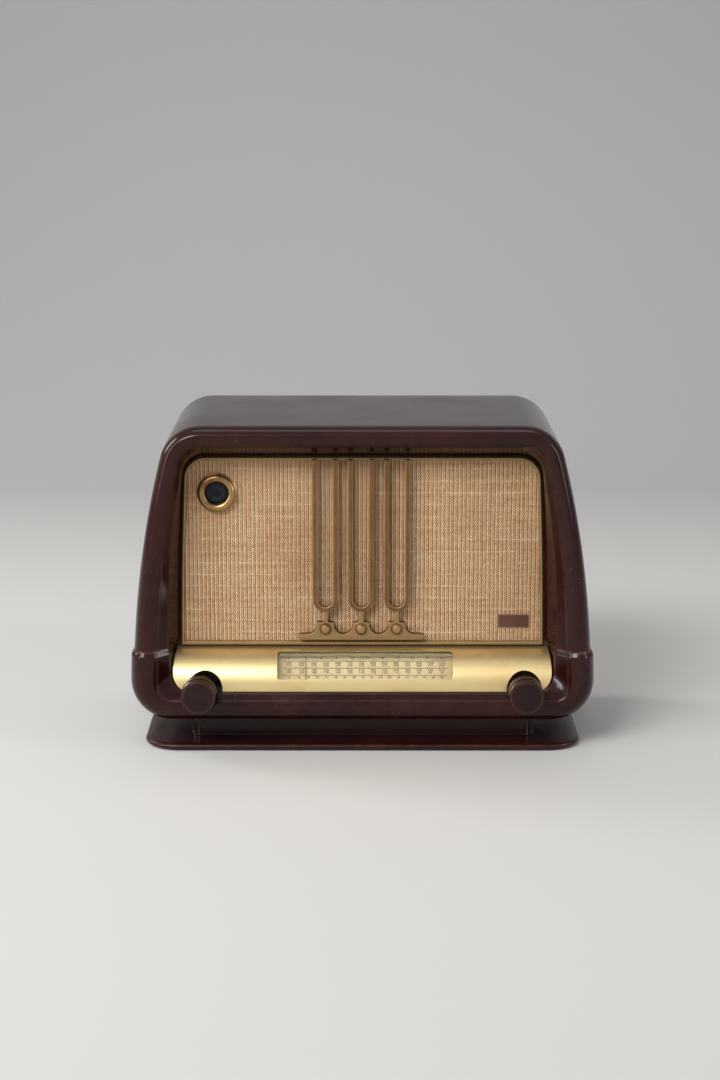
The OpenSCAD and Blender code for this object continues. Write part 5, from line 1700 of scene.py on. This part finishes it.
NUMERALS: dict[str, tuple[tuple[int, int], ...]] = {  # Strokes of the digits, in hundredths of their height.
    "0": ((30, 100), (8, 85), (0, 50), (8, 15), (30, 0), (52, 15), (60, 50), (52, 85), (30, 100)),
    "1": ((12, 78), (34, 100), (34, 0)),
    "2": ((2, 78), (16, 97), (42, 98), (58, 80), (52, 55), (0, 0), (60, 0)),
    "3": ((2, 88), (22, 100), (50, 92), (52, 65), (26, 53), (54, 42), (56, 14), (28, 0), (0, 12)),
    "4": ((44, 0), (44, 100), (0, 30), (60, 30)),
    "5": ((56, 100), (8, 100), (4, 55), (32, 62), (56, 46), (56, 16), (30, 0), (0, 10)),
    "6": ((52, 94), (26, 92), (4, 55), (4, 20), (28, 0), (56, 16), (54, 46), (28, 56), (6, 40)),
    "7": ((0, 100), (60, 100), (22, 0)),
    "8": ((30, 54), (6, 72), (14, 96), (46, 96), (54, 72), (30, 54), (2, 26), (14, 2), (46, 2), (58, 26),
          (30, 54)),
    "9": ((6, 6), (34, 10), (56, 45), (56, 80), (30, 100), (4, 84), (6, 54), (32, 44), (54, 60)),
}


@dataclass
class DialFigures:
    """Plain divisions and numbers printed on the scale, as strokes of ink a few hundredths thick.

    A place on the scale is x from the middle of the window and u up the slope. A row of numbers is its place
    up the slope, first number, step and count.
    """

    finish: Matter = Matter("dial_ink", srgb(84, 46, 26), srgb(108, 62, 36), 1400.0, 0.6, 0.004)
    # The card strip's dull tan is painted shadow of the window's upper edge on the scale.
    mask_finish: Matter = Matter("painted_shadow_card", srgb(178, 156, 106), srgb(158, 134, 88), 500.0, 0.8, 0.01)
    face: float = 30.29
    ink_t: float = 0.07
    figure_h: float = 2.4
    figure_line: float = 0.52
    figure_span: float = 168.0
    line_half: float = 90.0
    line_w: float = 0.5
    scale_span: float = 176.0
    scales: tuple[Pair, ...] = ((9.8, 3.0), (1.2, 2.25), (-7.4, 3.6))  # Place up the slope and spacing.
    marks: tuple[Pair, Pair] = ((2.0, 0.55), (1.1, 0.36))  # Length and width, each fifth one and the rest.
    rows: tuple[tuple[float, int, int, int], ...] = (
        (12.8, 6, 1, 11), (6.6, 520, 40, 14), (3.6, 575, -25, 14), (-2.0, 150, 20, 14), (-5.0, 200, -10, 14),
        (-10.8, 16, 2, 18))
    mask_face: float = 35.9
    mask: Triple = (97.0, 16.8, 7.4)  # Half length, place up the slope and width.

    def stroke(self, line: Array | list[Pair], width: float, above: float = 0.0) -> Shell:
        """One stroke: a flat ribbon carried along a line of places on the scale.

        Args:
            line: Places on the scale.
            width: Width of the ribbon.
            above: How far it stands off the scale.

        Returns:
            The closed skin.
        """
        c, s = math.cos(math.radians(DIAL_TILT)), math.sin(math.radians(DIAL_TILT))
        w, h, (x, u) = width / 2, self.ink_t / 2, np.array(line, float).T
        n = self.face + above + h
        path = side_by_side(WINDOW_X + x, DIAL_ARC[0] + u * c - n * s, DIAL_ARC[1] + u * s + n * c)
        return carried(path, np.array([[-w, -h], [w, -h], [w, h], [-w, h]]), np.array([0.0, -s, c]))

    def number(self, value: int, x: float, u: float) -> list[Shell]:
        """A number, one stroke to a digit.

        Args:
            value: The number.
            x: Sideways place of its middle.
            u: Place of its foot up the slope.

        Returns:
            The strokes.
        """
        digits, h = str(value), self.figure_h
        pitch = 0.86 * h
        left = x - len(digits) / 2 * pitch + (pitch - 0.6 * h) / 2
        return [self.stroke(np.array(NUMERALS[digit]) * h / 100.0 + (left + k * pitch, u), self.figure_line)
                for k, digit in enumerate(digits)]

    def build(self) -> None:
        """Draw three scales of long lines with divisions, six rows of plain numbers, and the card strip whose
        dull colour paints the shadow of the window's upper edge.
        """
        shells = []
        for row, (u, step) in enumerate(self.scales):
            shells.append(self.stroke([(-self.line_half, u), (self.line_half, u)], self.line_w))
            count = int(self.scale_span / step)
            for k in range(count + 1):
                x = self.scale_span * ((k / count) ** (0.9 + 0.08 * row) - 0.5)
                length, width = self.marks[0 if k % 5 == 0 else 1]
                shells.append(self.stroke([(x, u), (x, u + length)], width))
        for u, first, step, columns in self.rows:
            for k in range(columns):
                x = self.figure_span * ((k / (columns - 1)) ** 0.96 - 0.5)
                shells += self.number(first + step * k, x, u)
        make_piece("dial_figures", shells, self.finish)
        # A card strip under the glass along the window's top; its colour paints the shadow of that edge on
        # the scale.
        half, u, width = self.mask
        strip = self.stroke([(-half, u), (half, u)], width, self.mask_face - self.face)
        make_piece("dial_shadow_strip", [strip], self.mask_finish)


@dataclass
class Controls:
    """Two front discs with domed faces and hubs, and the rings behind them."""

    # The rubbed colour of the knobs also paints the highlight on the disc and ring rims.
    finish: Moulding = Moulding("knob_moulding", srgb(24, 10, 9), srgb(36, 15, 13), srgb(112, 76, 66),
                                0.22, 0.2)
    left_x: float = -176.5
    right_x: float = 176.5
    z: float = 68.5
    r: float = 18.8
    face: float = -30.0
    back: float = -21.0
    dome: float = 90.0
    round_r: float = 1.6
    hub_r: float = 12.5
    hub_end: float = -15.5
    bore_r: float = 2.02
    bore_end: float = -24.99
    ring_front: float = -15.0
    ring_back: float = -6.0
    ring_bore_r: float = 3.22

    def disc(self, x: float) -> Shell:
        """A front disc: bore, hub, rolled rim and a domed face with a fine raised line near its edge.

        Face: depth = face + dome - sqrt(dome^2 - r^2), the ball of radius `dome`.

        Args:
            x: Sideways place of its axis.

        Returns:
            The closed skin.
        """
        r, roll, hub = self.r, self.round_r, self.hub_r
        radius = np.concatenate([[r - roll], np.linspace(r - 1.9, r - 3.1, 7), np.linspace(r - 3.4, 0.0, 12)])
        bead = 0.16 * np.exp(-(((radius - r + 2.5) / 0.32) ** 2))
        dome = self.face + self.dome - np.sqrt(self.dome**2 - radius**2) + 0.17 - bead
        profile = np.vstack([
            [[0.0, self.bore_end], [self.bore_r, self.bore_end], [self.bore_r, self.hub_end],
             [hub - 0.6, self.hub_end], [hub, self.hub_end - 0.6], [hub, self.back + 0.6],
             [hub + 0.6, self.back]],
            arc(r - roll, self.back - roll, roll, math.pi / 2, 0.0, 9),
            arc(r - roll, float(dome[0]) + roll, roll, 0.0, -math.pi / 2, 9)[:-1],
            side_by_side(radius, dome)])
        # The pale ring near the rim is partly wear and partly a painted highlight of the rolled edge.
        worn = 0.3 * np.exp(-(((profile[:, 0] - r + 1.9) / 1.1) ** 2)) * (profile[:, 1] < self.face + 4.0)
        return turned(profile, (x, 0.0, self.z), steps=160, worn=worn)

    def ring(self, x: float) -> Shell:
        """A rear ring: a closed outline with full round edges and a shallow groove round its rim.

        Args:
            x: Sideways place of its axis.

        Returns:
            The closed skin.
        """
        f, b, r = self.ring_front, self.ring_back, self.r
        outline = np.vstack([
            [[self.ring_bore_r, b], [self.ring_bore_r, f]],
            arc(r - 1.0, f + 1.0, 1.0, -math.pi / 2, 0.0, 7),
            [[r, f + 2.6], [r - 0.35, f + 3.1], [r - 0.35, f + 3.7], [r, f + 4.2]],
            arc(r - 1.0, b - 1.0, 1.0, 0.0, math.pi / 2, 7)])
        # The pale front edge of the rim is partly wear and partly a painted reflection of the brass panel.
        front = np.abs(outline[:, 1] - f - 0.3) < 0.5
        worn = 0.8 * np.exp(-(((outline[:, 0] - r + 0.3) / 0.35) ** 2)) * front
        return turned(outline, (x, 0.0, self.z), closed=True, steps=160, worn=worn)

    def build(self) -> None:
        """Make the four pieces, each on its own body."""
        for node, end, shape, x, body in (
                ("volume_knob", "_disc", self.disc, self.left_x, "volume_control"),
                ("tuning_knob", "_disc", self.disc, self.right_x, "tuning_control"),
                ("tone_ring", "_rim", self.ring, self.left_x, "tone_control_ring"),
                ("band_ring", "_rim", self.ring, self.right_x, "band_control")):
            make_piece(node + end, [shape(x)], self.finish, (node,), body)


@dataclass
class DriveCord:
    """The endless drive cord: drum, two turns on the tuning spindle, left pulley, right pulley.

    A row of `pulleys` is x, height, radius, first and last angle in degrees, places, first and last depth.
    """

    finish: Matter = Matter("waxed_cord", srgb(196, 176, 130), srgb(150, 124, 82), 2200.0, 0.8, 0.05)
    r: float = 0.5
    twist: float = 0.9
    gap: float = 0.75
    pulleys: tuple[tuple[float, ...], ...] = (
        (152.0, 124.0, 49.975, 180.0, -24.0, 60, 62.0, 62.0),
        (176.5, 68.5, 5.0, -24.0, -455.5, 90, 61.0, 63.6),
        (-100.0, 95.0, 5.0, 264.5, 90.0, 24, 62.0, 62.0),
        (97.025, 105.0, 5.0, -90.0, 0.0, 14, 62.0, 62.0))

    def path(self) -> Array:
        """Evenly spaced places along the cord: circles about each pulley, joined by straight runs.

        Returns:
            The places, which join their own start.
        """
        corners = np.vstack([
            np.insert(arc(x, z, r, *np.radians((start, end)), count), 1, np.linspace(first, last, count), 1)
            for x, z, r, start, end, count, first, last in self.pulleys])
        closed = np.vstack([corners, corners[:1]])
        run = np.concatenate([[0.0], np.cumsum(np.linalg.norm(np.diff(closed, axis=0), axis=1))])
        s = np.linspace(0.0, run[-1], int(run[-1] / self.gap))[:-1]
        return np.stack([np.interp(s, run, closed[:, k]) for k in range(3)], -1)

    def build(self) -> None:
        """Carry a three-lobed section, r (0.86 + 0.13 cos 3(a - turn)), along the path while it turns."""
        path = self.path()
        a = np.linspace(0.0, 2 * math.pi, 10)[:-1]
        laps = round(len(path) * self.gap / self.twist / 3)
        turn = np.linspace(0.0, 2 * math.pi * laps, len(path), endpoint=False)[:, None]
        radius = self.r * (0.86 + 0.13 * np.cos(3 * (a[None, :] - turn)))
        section = side_by_side(radius * np.cos(a), radius * np.sin(a))
        skin = carried(path, section, np.array([0.0, 1.0, 0.0]), True)
        make_piece("twisted_cord", [skin], self.finish, ("drive_cord",))


@dataclass
class SpeakerCone:
    """Pressed paper cone with corrugations near its rim, ribs and a domed cap."""

    finish: Matter = Matter("cone_pulp", srgb(38, 34, 31), srgb(66, 58, 50), 520.0, 0.9, 0.14)
    z: float = 215.0
    at: float = 50.6
    r: float = 73.0
    neck_r: float = 15.0
    depth: float = 36.0
    ripple: float = 0.45
    paper: float = 0.7
    cap_r: float = 18.0
    cap_l: float = 8.0

    def build(self) -> None:
        """Turn the cone: depth falls along a slightly bowed line with three ripples near the rim.

        The line is (depth - 1.6) t^0.93; the ripples are a sine of the radius that fades in and out by
        smooth steps.
        """
        t = np.linspace(0.0, 1.0, 80)
        radius = mix(self.r - 3.0, self.neck_r, t)
        line = self.at + 1.0 + (self.depth - 1.6) * t**0.93
        line += (self.ripple * np.sin((radius - 50.0) * 1.05) * ease((radius - 48.0) / 6.0)
                 * ease((70.5 - radius) / 2.0))
        end = self.at + self.depth
        cone = np.vstack([[[self.r - 0.6, self.at + 0.9], [self.r - 0.6, self.at + 0.1]],
                          side_by_side(radius, line),
                          [[self.neck_r, end + 10.0], [self.neck_r + 0.8, end + 10.0]],
                          side_by_side(radius + 0.1, line + self.paper)[::-1]])
        a = np.linspace(0.0, math.pi / 2, 20)
        cap = np.vstack([side_by_side(self.cap_r * np.sin(a), end - 3.0 - self.cap_l * np.cos(a)),
                         [[self.cap_r, end - 2.4], [0.0, end - 2.4]]])
        middle = (0.0, 0.0, self.z)
        make_piece("paper_cone", [turned(cone, middle, closed=True, steps=144), turned(cap, middle)],
                   self.finish, ("speaker_cone",))


@dataclass(frozen=True)
class Works:
    """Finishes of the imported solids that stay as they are, each with the nodes that wear it."""

    table: tuple[tuple[Finish, tuple[str, ...]], ...] = (
        (Plywood("baffle_ply"), ("baffle_board",)),
        (EyeScreen("eye_screen"), ("eye_bulb",)),
        (Moulding("socket_moulding", srgb(34, 26, 22), srgb(50, 38, 31), srgb(86, 70, 60), 0.34, 0.2),
         ("eye_socket", "valve_bases")),
        (ClearGlass("window_glass", haze=0.02), ("dial_glass",)),
        (ScaleEnamel("scale_enamel"), ("dial_scale",)),
        (Matter("cream_paint", srgb(228, 208, 160), srgb(204, 180, 128), 300.0, 0.5, 0.02), ("dial_frame",)),
        (Metal("zinc_sheet", srgb(186, 184, 176), srgb(150, 142, 124), 0.36, Lay.ALONG, 0.7),
         ("gang_frame", "switch_bracket", "chassis", "if_cans", "eye_clamp")),
        (Metal("bright_steel", srgb(206, 204, 200), srgb(150, 144, 134), 0.24, Lay.NONE, 0.4),
         ("pointer_rail", "volume_spindle", "tuning_spindle", "chassis_bolts", "chassis_nuts",
          "speaker_bolts", "cover_screws")),
        (Metal("turned_brass", srgb(206, 170, 96), srgb(148, 108, 56), 0.28, Lay.NONE, 0.6),
         ("idler_pulleys", "drive_drum", "tone_sleeve", "band_sleeve", "spindle_bush")),
        (Metal("vane_aluminium", srgb(208, 210, 212), srgb(170, 170, 168), 0.3, Lay.ACROSS, 0.4),
         ("gang_stator", "gang_rotor")),
        (ClearGlass("lamp_glass", (0.98, 0.96, 0.9), haze=0.05), ("dial_lamps",)),
        (Matter("pointer_red", srgb(150, 52, 34), srgb(120, 40, 26), 900.0, 0.5, 0.01), ("pointer",)),
        (Matter("rubber", srgb(34, 33, 32), srgb(50, 47, 44), 700.0, 0.75, 0.05),
         ("chassis_feet", "mains_grommet")),
        (Metal("speaker_paint", srgb(92, 94, 92), srgb(66, 64, 60), 0.45, Lay.NONE, 0.8),
         ("speaker_basket", "speaker_magnet")),
        (Matter("paxolin", srgb(112, 66, 34), srgb(138, 86, 46), 160.0, 0.42, 0.02, (1.0, 1.0, 6.0)),
         ("valve_sockets", "tone_control", "band_switch", "socket_strip")),
        (ClearGlass("valve_glass", (0.9, 0.92, 0.9), 182.0, 0.05), ("valve_bulbs",)),
        (Stacked("core_sheets"), ("transformer_core", "output_core")),
        (Stacked("winding_wrap", srgb(176, 140, 86), srgb(124, 92, 52), (0.0, 0.0, 1.0), 2.4, 0.7, 0.0),
         ("transformer_winding", "output_winding")),
        (Matter("wax_paper", srgb(178, 156, 112), srgb(150, 126, 84), 260.0, 0.6, 0.03),
         ("smoothing_capacitor",)),
        (Matter("pressed_board", srgb(122, 88, 56), srgb(92, 64, 40), 500.0, 0.85, 0.12, (1.0, 1.0, 2.5)),
         ("back_cover",)),
    )

    def dress(self) -> None:
        """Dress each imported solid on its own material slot."""
        for finish, nodes in self.table:
            for name in nodes:
                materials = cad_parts[name].data.materials
                materials.clear()
                materials.append(finish.material())
            LOG.info("%s worn by %s", finish.name, ", ".join(nodes))


@dataclass(frozen=True)
class StudioPaint(Finish):
    """Matt paint of the floor, a little darker up the backdrop.

    Args:
        pale: Colour of the floor.
        cloudy: Colour of its faint clouds.
        wall: Colour of the backdrop.
    """

    pale: Colour = srgb(214, 212, 208)
    cloudy: Colour = srgb(206, 204, 200)
    wall: Colour = srgb(190, 190, 189)

    def dress(self, g: Graph) -> None:
        """Slow noise clouds the floor; a smooth step of depth leads to the backdrop's colour.

        Args:
            g: Nodes of the material.
        """
        at = g.place()
        cloud = g.noise(at.vector, 1.3)
        floor = g.blend(cloud * 0.5, self.pale, self.cloudy)
        g.set(Base_Color=g.blend(at.y.step(0.5, 2.1), floor, self.wall), Roughness=cloud * 0.1 + 0.7)


@dataclass(frozen=True)
class Lamp:
    """A soft rectangular lamp.

    Args:
        name: Its name.
        at: Its place in metres.
        size: Its width and height in metres.
        power: Its power in watts.
    """

    name: str
    at: Triple
    size: Pair
    power: float

    def build(self, aim_z: float, spread: float) -> None:
        """Hang the lamp and aim it.

        Args:
            aim_z: Height of the place on the axis that it is aimed at, in metres.
            spread: Full angle of its light in degrees.
        """
        data = bpy.data.lights.new(self.name, "AREA")
        data.shape = "RECTANGLE"
        data.size, data.size_y = self.size
        data.energy = self.power
        data.spread = math.radians(spread)
        lamp = bpy.data.objects.new(self.name, data)
        lamp.location = self.at
        x, y, z = (-self.at[0], -self.at[1], aim_z - self.at[2])
        lamp.rotation_euler = (math.atan2(math.hypot(x, y), -z), 0.0, math.atan2(-x, y))
        bpy.context.scene.collection.objects.link(lamp)


@dataclass
class Studio:
    """Camera at the photograph's angle, a pale floor with its backdrop, and soft lights.

    The camera's places and the lamps' are metres; the floor's sizes are millimetres, as elsewhere.
    """

    lens: float = 73.33
    film: float = 36.0
    distance: float = 2.4025
    height: float = 0.7375
    pitch: float = 12.3
    yaw: float = 0.065
    floor_half: float = 9000.0
    floor_z: float = -0.6
    sweep_from: float = 1400.0
    sweep_r: float = 800.0
    wall_top: float = 4000.0
    paint: StudioPaint = StudioPaint("pale_floor")
    tint: Colour = (0.97, 0.98, 1.0)
    air: float = 0.31
    seen: float = 0.28
    aim_z: float = 0.17
    spread: float = 100.0
    lamps: tuple[Lamp, ...] = (
        Lamp("key", (-1.8, -3.0, 3.05), (2.2, 1.36), 43.0),
        Lamp("left box", (-2.2, -1.3, 1.0), (0.5, 1.6), 6.4),
        Lamp("rim box", (-2.5, 1.0, 1.6), (0.85, 1.3), 8.0),
        Lamp("right strip", (2.5, -1.0, 0.95), (0.36, 1.6), 5.2),
        Lamp("top", (0.1, 0.9, 3.2), (2.4, 0.9), 3.0))

    def camera(self) -> None:
        """Set the camera: `lens` and the height of the picture `film` are millimetres."""
        data = bpy.data.cameras.new("camera")
        data.sensor_fit = "VERTICAL"
        data.sensor_height = self.film
        data.lens = self.lens
        eye = bpy.data.objects.new("camera", data)
        eye.location = (0.0, -self.distance, self.height)
        eye.rotation_euler = (math.radians(90.0 - self.pitch), 0.0, math.radians(self.yaw))
        bpy.context.scene.collection.objects.link(eye)
        bpy.context.scene.camera = eye

    def ground(self) -> None:
        """Floor and backdrop as one swept sheet: level, then a quarter circle, then upright."""
        r, half = self.sweep_r, self.floor_half
        run = np.vstack([[[-half, self.floor_z]],
                         arc(self.sweep_from, self.floor_z + r, r, -math.pi / 2, 0.0, 16),
                         [[self.sweep_from + r, self.wall_top]]])
        sheet = np.stack([np.insert(run, 0, x, 1) for x in (-half, half)])
        mesh = bpy.data.meshes.new("floor")
        mesh.from_pydata((sheet.reshape(-1, 3) * MILLI).tolist(), [],
                         grid_faces(2, len(run), False, False).tolist())
        mesh.polygons.foreach_set("use_smooth", np.ones(len(mesh.polygons), bool))
        floor = bpy.data.objects.new("floor", mesh)
        bpy.context.scene.collection.objects.link(floor)
        mesh.materials.append(self.paint.material())

    def room(self) -> None:
        """Even light from all round: `air`, and `seen` more of it to the eye, in gloss and in glass."""
        world = bpy.data.worlds.new("room")
        graph = Graph(world, "Background")
        eye, gloss, glass = (graph.node("ShaderNodeLightPath", output=f"Is {kind} Ray")
                             for kind in ("Camera", "Glossy", "Transmission"))
        graph.set(Color=self.tint, Strength=(eye + gloss + glass) * self.seen + self.air)
        bpy.context.scene.world = world

    def build(self) -> None:
        """Set the camera, the ground, the lamps and the even light from all round."""
        bpy.context.scene.view_settings.view_transform = "Standard"
        self.camera()
        self.ground()
        for lamp in self.lamps:
            lamp.build(self.aim_z, self.spread)
        self.room()


def main() -> None:
    """Build the pieces in order, dress the rest and set the stage."""
    logging.basicConfig(level=logging.INFO, format="%(name)s %(message)s")
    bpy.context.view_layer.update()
    for part in (Cabinet(), Pedestal(), Grille(), EyeRing(), DialPanel(), DialFigures(), Controls(),
                 DriveCord(), SpeakerCone()):
        part.build()
    Works().dress()
    Studio().build()


if __name__ == "__main__":
    main()
